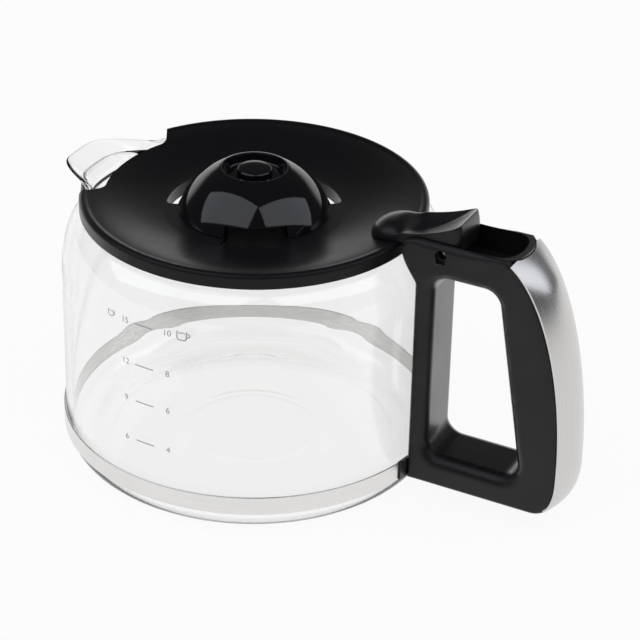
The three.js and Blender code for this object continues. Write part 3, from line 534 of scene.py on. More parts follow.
def handling_marks(tree, start, place):
    """Faint smears and dust that hands leave: a mask for gloss"""
    smear = noise(tree, 38.0, 6, place)
    return {"Roughness": noise_ramp(tree, smear, start["Clean"], start["Smeared"])}


VALUE, VECTOR, COLOUR = "NodeSocketFloat", "NodeSocketVector", "NodeSocketColor"
EFFECTS = {
    "Moulded grain": (
        moulded_grain, {"Grain scale": VALUE, "Gloss low": VALUE, "Gloss high": VALUE},
        {"Height": VALUE, "Roughness": VALUE}),
    "Brushed lines": (
        brushed_lines,
        {"Stretch": VECTOR, "Gloss low": VALUE, "Gloss high": VALUE, "Dark": COLOUR, "Light": COLOUR},
        {"Color": COLOUR, "Height": VALUE, "Roughness": VALUE}),
    "Handling marks": (handling_marks, {"Clean": VALUE, "Smeared": VALUE}, {"Roughness": VALUE}),
}


def effect_group(name):
    """The shared shader group of an effect, built when it is first asked for"""
    tree = bpy.data.node_groups.get(name)
    if tree:
        return tree
    build, inputs, outputs = EFFECTS[name]
    tree = bpy.data.node_groups.new(name, "ShaderNodeTree")
    for side, sockets in (("INPUT", inputs), ("OUTPUT", outputs)):
        for socket, kind in sockets.items():
            tree.interface.new_socket(name=socket, in_out=side, socket_type=kind)
    start = tree.nodes.new("NodeGroupInput")
    place = tree.nodes.new("ShaderNodeTexCoord")
    add_node(tree, "NodeGroupOutput", build(tree, start.outputs, place.outputs["Object"]))
    return tree


def effect(tree, name, values):
    """Places an effect's group in a material"""
    return add_node(tree, "ShaderNodeGroup", values, node_tree=effect_group(name)).outputs


def surface(name, build):
    """The material of a name, whose Principled BSDF is fed when the material is first asked for"""
    material = bpy.data.materials.get(name)
    if not material:
        material = bpy.data.materials.new(name)
        material.use_nodes = True
        tree = material.node_tree
        feed(tree, tree.nodes["Principled BSDF"], build(tree))
    return material


def bump(tree, height, strength, distance):
    values = {"Strength": strength, "Distance": distance, "Height": height}
    return add_node(tree, "ShaderNodeBump", values).outputs["Normal"]


# Materials

# Each moulding's gloss low and high, depth of grain, specular level and sheen
MOULDINGS = {
    "Black moulding": (0.36, 0.5, 0.12, 0.32, 1.0),
    "Lever moulding": (0.36, 0.46, 0.1, 0.3, 1.0),
    "Lid moulding": (0.32, 0.42, 0.08, 0.18, 0.35),
    "Skirt moulding": (0.55, 0.66, 0.08, 0.1, 0.0),
}


def finishes():
    return bpy.context.scene.carafe_finishes


def moulding(name):
    """A grained black moulding, dull when seen straight on and glossier along the surface by its sheen"""
    low, high, strength, specular, sheen = MOULDINGS[name]

    def build(tree):
        grain = effect(tree, "Moulded grain", {"Grain scale": 3000.0, "Gloss low": low, "Gloss high": high})
        values = {"Base Color": (*finishes().moulding_colour, 1), "Specular IOR Level": specular,
                  "Roughness": grain["Roughness"], "Normal": bump(tree, grain["Height"], strength, 0.05 * MM)}
        if sheen:
            facing = tree.nodes.new("ShaderNodeLayerWeight").outputs["Facing"]
            coat = ramp(tree, facing, 0.38, 0.62, 0.0, sheen)
            values |= {"Coat Weight": coat, "Coat Roughness": 0.28, "Coat IOR": 1.6}
        return values

    return surface(name, build)


def steel(name, colour, stretch, low, high):
    """Brushed steel, whose lines change along each axis as fast as the stretch says"""
    def build(tree):
        lines = effect(tree, "Brushed lines", {
            "Stretch": stretch, "Gloss low": low, "Gloss high": high,
            "Dark": (*[0.88 * c for c in colour], 1), "Light": (*colour, 1)})
        return {"Metallic": 1, "Base Color": lines["Color"], "Roughness": lines["Roughness"],
                "Normal": bump(tree, lines["Height"], 0.08, 0.03 * MM)}

    return surface(name, build)


def cover_steel():
    return steel("Cover steel", finishes().cover_colour, (30.0, 5200.0, 30.0), 0.23, 0.33)


def band_steel():
    return steel("Band steel", finishes().steel_colour, (22.0, 22.0, 5200.0), 0.22, 0.34)


def screw_steel():
    return steel("Screw steel", (0.42, 0.42, 0.43), (900.0, 900.0, 900.0), 0.25, 0.4)


def smooth_finish(name, colour, kind, gloss, plain):
    """A smooth surface whose gloss varies by an effect, with its other values plain"""
    return surface(name, lambda tree: {
        "Base Color": (*colour, 1), "Roughness": effect(tree, kind, gloss)["Roughness"], **plain})


def polished_moulding():
    gloss = {"Clean": 0.04, "Smeared": 0.09}
    return smooth_finish("Polished moulding", (0.004, 0.004, 0.005), "Handling marks", gloss, {})


def clear_glass():
    gloss = {"Clean": 0.0, "Smeared": 0.012}
    plain = {"Transmission Weight": 1, "IOR": 1.47}
    return smooth_finish("Clear glass", finishes().glass_tint, "Handling marks", gloss, plain)


def mark_ink():
    gloss = {"Grain scale": 5000.0, "Gloss low": 0.5, "Gloss high": 0.7}
    return smooth_finish("Mark ink", finishes().ink_colour, "Moulded grain", gloss, {})


# Jug and band

def shoulder_line():
    end = RIM_HEIGHT - NECK_HEIGHT
    start = end - SHOULDER_HEIGHT
    return ((BODY_RADIUS, start - SHOULDER_EASE), (BODY_RADIUS, start + SHOULDER_FULLNESS * SHOULDER_HEIGHT),
            (NECK_RADIUS, end - NECK_EASE * SHOULDER_HEIGHT), (NECK_RADIUS, end))


def shoulder_point(t):
    """A point of the shoulder, which leaves the straight wall without a jump in its curvature"""
    line = shoulder_line()
    r, z = bezier(line, t)
    leave = smoothstep(z, line[0][1], line[0][1] + 0.9 * SHOULDER_EASE)
    return BODY_RADIUS - (BODY_RADIUS - r) * leave, z


def shoulder(offset, steps):
    points = []
    for t in spread(0, 1, steps):
        r, z = shoulder_point(t)
        (r0, z0), (r1, z1) = shoulder_point(max(0, t - 0.002)), shoulder_point(min(1, t + 0.002))
        size = hypot(r1 - r0, z1 - z0)
        points.append((r + offset * (z1 - z0) / size, z - offset * (r1 - r0) / size))
    return points


def spout_pull(z, azimuth):
    """How far a place of the wall is pulled out into the spout, from 0 to 1"""
    away = pi - abs(azimuth)
    rise = max(0.0, 1 - (RIM_HEIGHT - z) / SPOUT_DEPTH)
    return rise ** SPOUT_CURVE * (1 - smoothstep(away, SPOUT_FLAT_ANGLE, SPOUT_HALF_ANGLE))


def pulled(radius, azimuth, z):
    azimuth = remainder(azimuth, 2 * pi)
    pull = spout_pull(z, azimuth)
    return (*polar(radius + SPOUT_REACH * pull, azimuth), z + SPOUT_LIFT * pull)


def stepped(radius, outside, inside):
    """A soft step in a flat face, from outside a radius to inside it"""
    return [(radius + BASE_STEP_RUN * (1 - 2 * t), outside + (inside - outside) * smoothstep(t, 0, 1))
            for t in spread(0, 1, 8)]


def jug_profile():
    """The jug's wall, from the middle of its underside round the rim to the middle of its floor"""
    inner = BODY_RADIUS - GLASS_WALL
    rim = GLASS_WALL / 2
    quarter = pi / 2
    neck = RIM_HEIGHT - NECK_HEIGHT
    floor = BASE_THICKNESS - BASE_STEP
    return [
        (0, BASE_RING), *reversed(stepped(BASE_RING_RADIUS, 0, BASE_RING)), (BODY_RADIUS - BASE_CORNER, 0),
        *arc(BODY_RADIUS - BASE_CORNER, BASE_CORNER, BASE_CORNER, -quarter, 0, 12)[1:],
        *[(BODY_RADIUS, z) for z in spread(BASE_CORNER, shoulder_line()[0][1], 6)[1:-1]],
        *shoulder(0, 44),
        *[(NECK_RADIUS, z) for z in spread(neck, RIM_HEIGHT - rim, 6)[1:-1]],
        *arc(NECK_RADIUS - rim, RIM_HEIGHT - rim, rim, 0, pi, 10),
        *[(NECK_RADIUS - GLASS_WALL, z) for z in spread(RIM_HEIGHT - rim, neck, 6)[1:-1]],
        *reversed(shoulder(-GLASS_WALL, 44)),
        *arc(inner - INNER_CORNER, BASE_THICKNESS + INNER_CORNER, INNER_CORNER, 0, -quarter, 12),
        *stepped(BASE_STEP_RADIUS, BASE_THICKNESS, floor), (0, floor)]


class CARAFE_OT_glass(Operator):
    """Blows the glass jug: round wall, drawn-in neck and pulled spout"""
    bl_idname = "carafe.glass"
    bl_label = "Glass jug"

    def execute(self, context):
        steps = 2 * context.scene.carafe_detail.round_steps
        mesh = mesh_of(lathe(jug_profile(), steps, pulled), False)
        obj = piece("jug_glass", mesh, clear_glass(), "jug", 60)
        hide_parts("glass_jug")
        return {"FINISHED"}


class CARAFE_OT_band(Operator):
    """Wraps the steel strip round the base of the glass"""
    bl_idname = "carafe.band"
    bl_label = "Base band"

    def execute(self, context):
        edge = BAND_THICKNESS / 2
        middle = BODY_RADIUS + BAND_GAP + edge
        section = [*arc(middle, BAND_BOTTOM + edge, edge, -pi, 0, 6),
                   *arc(middle, BAND_BOTTOM + BAND_HEIGHT - edge, edge, 0, pi, 6)]
        turns = spread(pi - BAND_HALF_ANGLE, pi + BAND_HALF_ANGLE, context.scene.carafe_detail.round_steps)
        mesh = mesh_of(loft([[(*polar(r, a), z) for r, z in section] for a in turns]), False)
        obj = piece("band_strip", mesh, band_steel(), "jug", 50)
        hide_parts("base_band")
        return {"FINISHED"}


# Handle

BACK_SHARES = [*spread(0, 0.8, 40), *spread(0.8, COVER_END, 20)[1:], *spread(COVER_END, 1, 8)[1:]]


def back_curves():
    top = (HANDLE_X + TOP_LENGTH, HANDLE_TOP - TOP_FALL)
    low = (HANDLE_X + GRIP_REACH, FOOT_BOTTOM + FOOT_CORNER)
    heel = (low[0] - HEEL_RUN, FOOT_BOTTOM)
    height = top[1] - low[1]
    grip = (top, (top[0] + GRIP_SHOULDER, top[1] - GRIP_BROW * height),
            (low[0] + GRIP_SWELL, low[1] + GRIP_BELLY * height), low)
    foot = (low, (low[0], FOOT_BOTTOM + HEEL_ROUND * FOOT_CORNER), (low[0] - HEEL_TUCK, FOOT_BOTTOM), heel)
    return grip, foot


def back_stations(shares):
    """Points and directions along the back of the handle at shares of its length"""
    samples = []
    for curve in back_curves():
        samples += [(bezier(curve, t), bezier_slope(curve, t)) for t in spread(0, 1, 400)]
    run = [0.0]
    for (p, _), (q, _) in zip(samples, samples[1:]):
        run.append(run[-1] + hypot(q[0] - p[0], q[1] - p[1]))
    stations = []
    for share in shares:
        goal = share * run[-1]
        index = next((i for i, length in enumerate(run) if length >= goal - 1e-12), len(run) - 1)
        stations.append(samples[index])
    return stations


def back_half_width(share):
    return HANDLE_HALF_WIDTH - WAIST * sin(pi * share)


def crown(share, across):
    """How far the cover bulges at a share of its length and of its half width"""
    brow = smoothstep(share, 0, BROW_SHARE)
    heel = max(0.0, 1 - (1 - share) / HEEL_SHARE)
    bulge = (COVER_TOP_BULGE + (COVER_BULGE - COVER_TOP_BULGE) * brow) * (1 - heel * heel)
    return bulge * (1 - across * across)


def cover_recess(share):
    return 0 if share > COVER_END else COVER_WALL + GAP


def back_loft(section, shares):
    """A loft of sections given as (across, outwards) pairs along the handle's back"""
    rings = []
    for share, (point, along) in zip(shares, back_stations(shares)):
        rings.append([(point[0] - along[1] * out, across, point[1] + along[0] * out)
                      for across, out in section(share)])
    return loft(rings)


def well_plan(front, rear, side):
    """A D from above, square in front and round at the rear"""
    corner = rear - WELL_CORNER
    turn = rear - 0.4 * WELL_CORNER
    lower = ((corner, -side), (turn, -side), (rear, -0.62 * side), (rear, 0))
    upper = ((rear, 0), (rear, 0.62 * side), (turn, side), (corner, side))
    points = [(front, side), (front, -side)]
    points += [bezier(lower, t) for t in spread(0, 1, 20)]
    points += [bezier(upper, t) for t in spread(0, 1, 20)[1:]]
    return points


def well_rim(gap):
    """The black rim round the rear of the well, grown by a gap"""
    rear = WELL_REAR + WELL_RIM + gap
    side = HANDLE_HALF_WIDTH - HANDLE_EDGE + gap
    return prism(well_plan(rear - WELL_CORNER - WELL_RIM, rear, side), GAP_TOP, HANDLE_TOP + gap)


class CARAFE_OT_cover(Operator):
    """Presses the crowned steel cover over the handle's back"""
    bl_idname = "carafe.cover"
    bl_label = "Handle cover"

    def execute(self, context):
        across = [sin(a) for a in spread(-pi / 2, pi / 2, 28)]

        def section(share):
            half = back_half_width(share)
            outside = [(c * half, crown(share, c)) for c in across]
            return outside + [(y, out - COVER_WALL) for y, out in reversed(outside)]

        mesh = combined(back_loft(section, spread(0, COVER_END, 90)), cut(well_rim(GAP)))
        obj = piece("cover_shell", mesh, cover_steel(), "jug", 45)
        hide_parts("handle_cover")
        return {"FINISHED"}


def side_outline():
    """The handle from the side, foot first, anticlockwise about -Y"""
    back = []
    for share, (point, along) in zip(BACK_SHARES, back_stations(BACK_SHARES)):
        recess = cover_recess(share)
        back.append((point[0] + along[1] * recess, point[1] - along[0] * recess))
    flare = NOSE_Z - FLARE_HEIGHT
    nose = bend((NOSE_X + NOSE_ROUND, HANDLE_TOP), (NOSE_X + NOSE_TURN, HANDLE_TOP), (NOSE_X, NOSE_Z), 10)
    throat = ((NOSE_X, NOSE_Z), (NOSE_X, NOSE_Z - 0.43 * FLARE_HEIGHT),
              (HANDLE_X - FLARE_EASE, flare + 0.29 * FLARE_HEIGHT), (HANDLE_X, flare))
    foot = [(x, FOOT_BOTTOM) for x in spread(HANDLE_X, back[-1][0], 12)[:-1]]
    top = [(x, HANDLE_TOP) for x in spread(HANDLE_X + TOP_LENGTH - TOP_EASE, NOSE_X + NOSE_ROUND, 10)[:-1]]
    leg = [(HANDLE_X, z) for z in spread(flare, FOOT_BOTTOM, 24)[1:-1]]
    return [*foot, *reversed(back), *top, *nose, *[bezier(throat, t) for t in spread(0, 1, 16)[1:]], *leg]


def edge_roll(x, z):
    """The roll of the side faces' edges, larger along the top of the arm"""
    rise = smoothstep(z, ARM_EDGE_FROM, ARM_EDGE_TO)
    run = smoothstep(x, *ARM_EDGE_START) * (1 - smoothstep(x, *ARM_EDGE_STOP))
    return HANDLE_EDGE + (ARM_EDGE - HANDLE_EDGE) * rise * run


def rolled_slab(outline, half):
    """A slab of a side outline whose edges roll over to both faces"""
    count = len(outline)
    inward = []
    for i in range(count):
        before, after = outline[i - 1], outline[(i + 1) % count]
        dx, dz = after[0] - before[0], after[1] - before[1]
        length = hypot(dx, dz)
        inward.append((-dz / length, dx / length))
    turns = spread(0, pi / 2, 6)
    steps = [(-1, a) for a in turns] + [(1, a) for a in reversed(turns)]
    rings = []
    for side, a in steps:
        ring = []
        for (x, z), (nx, nz) in zip(outline, inward):
            edge = edge_roll(x, z)
            inset = edge * (1 - sin(a))
            ring.append((x + nx * inset, side * (half - edge * (1 - cos(a))), z + nz * inset))
        rings.append(ring)
    return loft(rings)


def finger_gap():
    """The room for the fingers, which rolls out to both faces"""
    left, low = HANDLE_X + LEG_THICKNESS, FOOT_BOTTOM + FOOT_DEPTH
    corners = [(left, low), (left + GAP_BOTTOM_LENGTH, low),
               (left + GAP_TOP_LENGTH, GAP_TOP), (left, GAP_TOP)]
    sides = []
    for i in range(4):
        ahead = corners[(i + 1) % 4]
        sides.append(atan2(ahead[1] - corners[i][1], ahead[0] - corners[i][0]) % (2 * pi))

    def outline(grow, y):
        points = []
        for i in range(4):
            before = sides[i - 1]
            turn = (sides[i] - before) % (2 * pi)
            middle = before + (turn + pi) / 2
            inset = GAP_CORNER / cos(turn / 2)
            cx, cz = corners[i][0] + inset * cos(middle), corners[i][1] + inset * sin(middle)
            start = before - pi / 2
            points += [(x, y, z) for x, z in arc(cx, cz, GAP_CORNER + grow, start, start + turn, 14)]
        return points

    side = [(HANDLE_HALF_WIDTH - GAP_EDGE * (1 - sin(a)), GAP_EDGE * (1 - cos(a)))
            for a in spread(0, pi / 2, 14)]
    side.append((HANDLE_HALF_WIDTH + OVERSHOOT, GAP_EDGE))
    stations = [(-y, grow) for y, grow in reversed(side)] + side
    return loft([outline(grow, y) for y, grow in stations])


def waist_roll(side):
    """What is taken off one side of the grip so that its face rolls in to the waist of the back"""
    outside = HANDLE_HALF_WIDTH + OVERSHOOT

    def section(share):
        edge, depth = back_half_width(share), cover_recess(share)
        roll = [(edge + (HANDLE_HALF_WIDTH - edge) * sin(a), (WAIST_ROLL - depth) * (cos(a) - 1) - depth)
                for a in spread(0, pi / 2, 10)]
        outline = [(edge, 2 * OVERSHOOT), *roll, (outside, -WAIST_ROLL), (outside, 2 * OVERSHOOT)]
        return [(side * across, out) for across, out in outline]

    return back_loft(section, BACK_SHARES)


def backing(share):
    half = back_half_width(share) - (HANDLE_EDGE if share > COVER_END else 0)
    depth = cover_recess(share)
    arch = [(across * half, crown(share, across) - depth) for across in spread(-1, 1, 16)]
    return [*arch, (half, -BACKING_DEPTH), (-half, -BACKING_DEPTH)]


def lever_well():
    """The room of the lever's rear and its mouth to the lid"""
    front, top = NOSE_X + NOSE_WALL, HANDLE_TOP + 2 * OVERSHOOT
    return [prism(well_plan(front, WELL_REAR, WELL_HALF_WIDTH), WELL_FLOOR, top),
            box(NOSE_X - OVERSHOOT, front + OVERSHOOT, 2 * WELL_HALF_WIDTH, HOOK_TOP, top)]


def jug_room():
    """The room of the jug's shoulder and neck, with a gap round it"""
    gap = JUG_ROOM_GAP
    low = RIM_HEIGHT - NECK_HEIGHT - SHOULDER_HEIGHT - OVERSHOOT
    line = [(r, z) for r, z in shoulder(gap, 20) if z > low]
    return lathe([(0, low), (HANDLE_X, low), *line, (NECK_RADIUS + gap, RIM_HEIGHT), (0, RIM_HEIGHT)], 192)


def pin_holes():
    """The pin's hole and the keyholes at its ends"""
    face, floor = HANDLE_HALF_WIDTH + OVERSHOOT, HANDLE_HALF_WIDTH - KEYHOLE_DEPTH
    x, z = HINGE
    half = KEYHOLE_SLOT / 2
    holes = [lying([(PIN_HOLE, -face), (PIN_HOLE, face)], x, z)]
    for y0, y1 in ((-face, -floor), (floor, face)):
        slot = [(x - half, y0), (x + half, y0), (x + half, y1), (x - half, y1)]
        holes += [lying([(KEYHOLE_RADIUS, y0), (KEYHOLE_RADIUS, y1)], x, z), prism(slot, z - KEYHOLE_DROP, z)]
    return holes


class CARAFE_OT_frame(Operator):
    """Moulds the handle's frame: rolled finger gap, lever well, hinge ears and foot"""
    bl_idname = "carafe.frame"
    bl_label = "Handle frame"

    def execute(self, context):
        tools = [("UNION", back_loft(backing, BACK_SHARES)), *cut(waist_roll(-1), waist_roll(1)),
                 ("UNION", well_rim(0)), *cut(finger_gap(), *lever_well(), jug_room(), *pin_holes())]
        mesh = combined(rolled_slab(side_outline(), HANDLE_HALF_WIDTH), tools)
        obj = piece("frame_moulding", mesh, moulding("Black moulding"), "jug", 38)
        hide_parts("handle_frame")
        return {"FINISHED"}


# Lid

def dish_line():
    span = DISH_EDGE - SEAT_RADIUS
    return ((DISH_EDGE, DISH_EDGE_TOP), (DISH_EDGE - 0.27 * span, DISH_EDGE_TOP - 0.1 * DISH_FALL),
            (SEAT_RADIUS + 0.38 * span, SEAT_TOP + 0.14 * DISH_FALL), (SEAT_RADIUS, SEAT_TOP))


def notch_plan():
    """The cut in the dish over the spout, from above"""
    straight = NOTCH_HALF_ANGLE - NOTCH_FLARE
    corner = straight - NOTCH_ROUND / 2
    turn = straight - NOTCH_ROUND
    far = LID_RADIUS + OVERSHOOT
    side = bend(polar(NOTCH_RADIUS + NOTCH_CORNER, pi - straight), polar(NOTCH_RADIUS, pi - corner),
                polar(NOTCH_RADIUS, pi - turn), 10)
    inner = [polar(NOTCH_RADIUS, a) for a in spread(pi - turn, pi + turn, 48)[1:-1]]
    outer = [polar(far, a) for a in spread(pi + NOTCH_HALF_ANGLE, pi - NOTCH_HALF_ANGLE, 48)]
    return [*side, *inner, *[(x, -y) for x, y in reversed(side)], *outer]


def slot_plan(azimuth):
    """A flow slot of the dish, from above"""
    inner = LID_HOLE_RADIUS - OVERSHOOT
    turn = SLOT_ROUND / SLOT_RADIUS
    half = SLOT_HALF_ANGLE
    side = bend(polar(SLOT_RADIUS - SLOT_ROUND, -half), polar(SLOT_RADIUS, -half),
                polar(SLOT_RADIUS, turn - half), 10)
    outer = [polar(SLOT_RADIUS, a) for a in spread(turn - half, half - turn, 20)[1:-1]]
    points = [polar(inner, -half), *side, *outer, *[(x, -y) for x, y in reversed(side)], polar(inner, half)]
    return [(x * cos(azimuth) - y * sin(azimuth), x * sin(azimuth) + y * cos(azimuth))
            for x, y in points]


def sector(inner, outer, half, azimuth, steps=16):
    """Part of a ring, from above"""
    far = [polar(outer, a) for a in spread(azimuth - half, azimuth + half, steps)]
    near = [polar(inner, a) for a in spread(azimuth + half, azimuth - half, steps)]
    return [*far, *near]


class CARAFE_OT_dish(Operator):
    """Moulds the lid's dish with its bead, spout notch, flow slots, collar and hook slot"""
    bl_idname = "carafe.dish"
    bl_label = "Lid dish"

    def execute(self, context):
        top = [bezier(dish_line(), t) for t in spread(0, 1, 26)]
        bead = BEAD_WIDTH / 2
        lip_bottom, lip_inside, channel = RIM_HEIGHT - LIP_DROP, LID_RADIUS - LIP_WALL, RIM_HEIGHT + GAP
        collar_in, collar_out = SLOT_RADIUS - COLLAR_WALL, SLOT_RADIUS + COLLAR_WALL
        collar_low = SEAT_TOP - COLLAR_DROP
        under = [(r, z - DISH_WALL) for r, z in top if collar_out < r < LID_WALL_RADIUS]
        profile = [
            (lip_inside, lip_bottom),
            *arc(LID_RADIUS - LIP_EDGE, lip_bottom + LIP_EDGE, LIP_EDGE, -pi / 2, 0, 4),
            *arc(LID_RADIUS - bead, LID_CREST - bead, bead, 0, pi / 2, 8),
            *[(LID_RADIUS - run * bead, LID_CREST - fall * BEAD_HEIGHT) for run, fall in BEAD_FALL],
            *top,
            (LID_HOLE_RADIUS, SEAT_TOP), (LID_HOLE_RADIUS, SEAT_TOP - DISH_WALL),
            (collar_in, SEAT_TOP - DISH_WALL), (collar_in, collar_low),
            (collar_out, collar_low), (collar_out, under[-1][1]),
            *reversed(under),
            (LID_WALL_RADIUS, under[0][1]), (LID_WALL_RADIUS, channel), (lip_inside, channel)]
        low, high = collar_low - OVERSHOOT, LID_CREST + OVERSHOOT
        forms = [prism(notch_plan(), low, high),
                 box(HOOK_NOTCH, LID_RADIUS + OVERSHOOT, 2 * HOOK_HALF_WIDTH, low, high),
                 *[prism(slot_plan(a), low, high) for a in SLOT_AZIMUTHS],
                 *[post(SCREW_HOLE, low, high, SCREW_X, y) for y in SCREW_YS]]
        mesh = combined(lathe(profile, context.scene.carafe_detail.round_steps), cut(*forms))
        obj = piece("dish_moulding", mesh, moulding("Lid moulding"), "lid", 38)
        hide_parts("lid_dish")
        return {"FINISHED"}


class CARAFE_OT_dome(Operator):
    """Moulds the polished dome with its round recess, boss and arches, and the snap-in skirt under it"""
    bl_idname = "carafe.dome"
    bl_label = "Lid dome"

    def execute(self, context):
        steps = context.scene.carafe_detail.round_steps
        bottom = SEAT_TOP + GAP
        outer = LID_HOLE_RADIUS - GAP
        inner = outer - SNAP_WALL
        skirt_low, skirt_high = SEAT_TOP - SNAP_DROP, bottom + ARCH_HEIGHT + GAP
        skirt = [(inner, skirt_low), (outer, skirt_low), (outer, skirt_high), (inner, skirt_high)]
        barb_top = SEAT_TOP - DISH_WALL - GAP
        barbs, arches = [], []
        for azimuth in SLOT_AZIMUTHS:
            barb = sector(inner + 0.2 * MM, outer + SNAP_BARB, SNAP_HALF_ANGLE, azimuth + pi)
            barbs.append(("UNION", prism(barb, barb_top - SNAP_BARB, barb_top)))
            arch = sector(BOSS_RADIUS, DOME_RADIUS + OVERSHOOT, SLOT_HALF_ANGLE, azimuth)
            arches.append(prism(arch, bottom - OVERSHOOT, bottom + ARCH_HEIGHT))
        mesh = combined(lathe(skirt, steps), barbs)
        ring = piece("dome_skirt", mesh, moulding("Skirt moulding"), "lid", 40)
        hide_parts("lid_dome")
        mesh = combined(lathe(self.profile(bottom), steps), cut(*arches))
        obj = piece("dome_moulding", mesh, polished_moulding(), "lid", 40)
        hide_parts("lid_dome")
        return {"FINISHED"}

    def profile(self, bottom):
        """The dome's wall, from the top of the boss over the recess and down to its edge, and back inside"""
        top = bottom + DOME_HEIGHT
        drop = (DOME_RADIUS ** 2 - DOME_TOP_RADIUS ** 2 - DOME_HEIGHT ** 2) / (2 * DOME_HEIGHT)
        ball = hypot(DOME_RADIUS, drop)
        centre = bottom - drop
        inside = ball - DOME_WALL
        floor = top - RECESS_DEPTH
        ceiling = floor - DOME_WALL
        lip, recess = RECESS_LIP / 2, DOME_TOP_RADIUS - 1.5 * RECESS_LIP
        outside = [
            *arc(0, centre, ball, atan2(drop, DOME_RADIUS), atan2(drop + DOME_HEIGHT, DOME_TOP_RADIUS), 40),
            *arc(DOME_TOP_RADIUS - lip, top - 0.4 * lip, 0.6 * lip, 0.3 * pi, pi, 8),
            (recess, floor + 0.4 * MM), (recess - 0.4 * MM, floor),
            (BOSS_RADIUS + 0.3 * MM, floor), (BOSS_RADIUS, floor + 0.3 * MM),
            *arc(BOSS_RADIUS - BOSS_EDGE, top - BOSS_EDGE, BOSS_EDGE, 0.06 * pi, 0.42 * pi, 8),
            (BOSS_RADIUS / 2, top + 0.6 * BOSS_CROWN), (BOSS_RADIUS / 4, top + 0.9 * BOSS_CROWN)]
        low, high = asin((bottom - centre) / inside), asin((ceiling - centre) / inside)
        return [(0, top + BOSS_CROWN), *reversed(outside), *arc(0, centre, inside, low, high, 14), (0, ceiling)]


# Thumb lever

def dish_height(radius):
    points = [bezier(dish_line(), t) for t in spread(0, 1, 60)]
    for (r0, z0), (r1, z1) in zip(points, points[1:]):
        if r1 <= radius <= r0:
            return z1 + (z0 - z1) * (radius - r1) / (r0 - r1)
    return DISH_EDGE_TOP


def lever_plan():
    """The lever from above: an oval front, straight sides and rounded rear corners"""
    w, front = LEVER_HALF_WIDTH, TONGUE_FRONT + TONGUE_RUN
    corner = LEVER_REAR - LEVER_CORNER
    right = [(LEVER_REAR, -(w - LEVER_CORNER) * t) for t in spread(0, 1, 6)[:-1]]
    right += [(corner + LEVER_CORNER * cos(a), -(w - LEVER_CORNER) - LEVER_CORNER * sin(a))
              for a in spread(0, pi / 2, 12)]
    right += [(x, -w) for x in spread(corner, front, 24)[1:-1]]
    right += [(front - TONGUE_RUN * sin(a), -w * cos(a)) for a in spread(0, pi / 2, 26)]
    return right + [(x, -y) for x, y in reversed(right[1:-1])]


def lever_under(x):
    """The height of the lever's underside, which clears the hook and the floor of the well as it turns"""
    knots = [*[(at, dish_height(at) + LEVER_LIFT) for at in (TONGUE_FRONT, HOOK_NOTCH)], *LEVER_UNDER]
    for (x0, z0), (x1, z1) in zip(knots, knots[1:]):
        if x <= x1:
            return z0 + (z1 - z0) * (max(x, x0) - x0) / (x1 - x0)
    return knots[-1][1]


def lever_rim(x):
    run = max(0.0, x - RIM_FROM)
    return TONGUE_TOP + sum(rise * run ** power for power, rise in enumerate(RIM_RISE, 1))


def lever_top(x, u):
    """The height of the top at a place and its share of the way out to the edge"""
    base = lever_under(min(x, HOOK_NOTCH)) + TONGUE_EDGE
    swell = TONGUE_TOP + TONGUE_SWELL - base
    mound = base + swell * max(0.0, 1 - u ** 2.8) ** 0.6
    scoop = SCOOP_DEPTH * smoothstep(x, *SCOOP_FROM)
    bowl = lever_rim(x) - scoop * max(0.0, 1 - u * u) ** 1.15
    blend = smoothstep(x, *BOWL_FROM)
    return mound + (bowl - mound) * blend


class CARAFE_OT_lever(Operator):
    """Moulds the thumb lever: a low round tongue, a scooped thumb rest and a raised crest"""
    bl_idname = "carafe.lever"
    bl_label = "Thumb lever"

    def execute(self, context):
        plan = lever_plan()
        bm = bmesh.new()

        def ring(share, height, swell=0):
            rear = swell * (LEVER_REAR - LEVER_CENTRE)
            points = [(LEVER_CENTRE + share * (x - LEVER_CENTRE), share * y) for x, y in plan]
            return [bm.verts.new((x + rear * smoothstep(x, RIM_FROM, LEVER_REAR), y, height(x)))
                    for x, y in points]

        def side(x, t):
            high, low = lever_top(x, 1) - LEVER_EDGE, lever_under(x) + 0.3 * MM
            return high + t * (low - high)

        rings = [[bm.verts.new((LEVER_CENTRE, 0, lever_top(LEVER_CENTRE, 0)))] * len(plan)]
        for u in [*spread(0.05, 0.9, 18), *spread(0.9, 0.965, 4)[1:]]:
            rings.append(ring(u, lambda x: lever_top(x, u)))
        rings.append(ring(0.99, lambda x: lever_top(x, 0.99) - 0.25 * LEVER_EDGE))
        for t in spread(0, 1, 11):
            rings.append(ring(1.0, lambda x: side(x, t), LEVER_SWELL * sin(pi * t)))
        rings += [ring(u, lever_under) for u in (0.985, 0.8, 0.6, 0.4, 0.2)]
        rings.append([bm.verts.new((LEVER_CENTRE, 0, lever_under(LEVER_CENTRE)))] * len(plan))
        skin(bm, rings)
        pin = lying([(PIN_HOLE, -HANDLE_HALF_WIDTH), (PIN_HOLE, HANDLE_HALF_WIDTH)], *HINGE)
        screws = [post(SCREW_HOLE, SEAT_TOP - OVERSHOOT, SEAT_TOP + 6 * MM, SCREW_X, y) for y in SCREW_YS]
        mesh = combined(bm, cut(pin, *screws))
        obj = piece("lever_moulding", mesh, moulding("Lever moulding"), "lid", 38)
        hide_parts("thumb_lever")
        return {"FINISHED"}


# Clamp, pin and screws

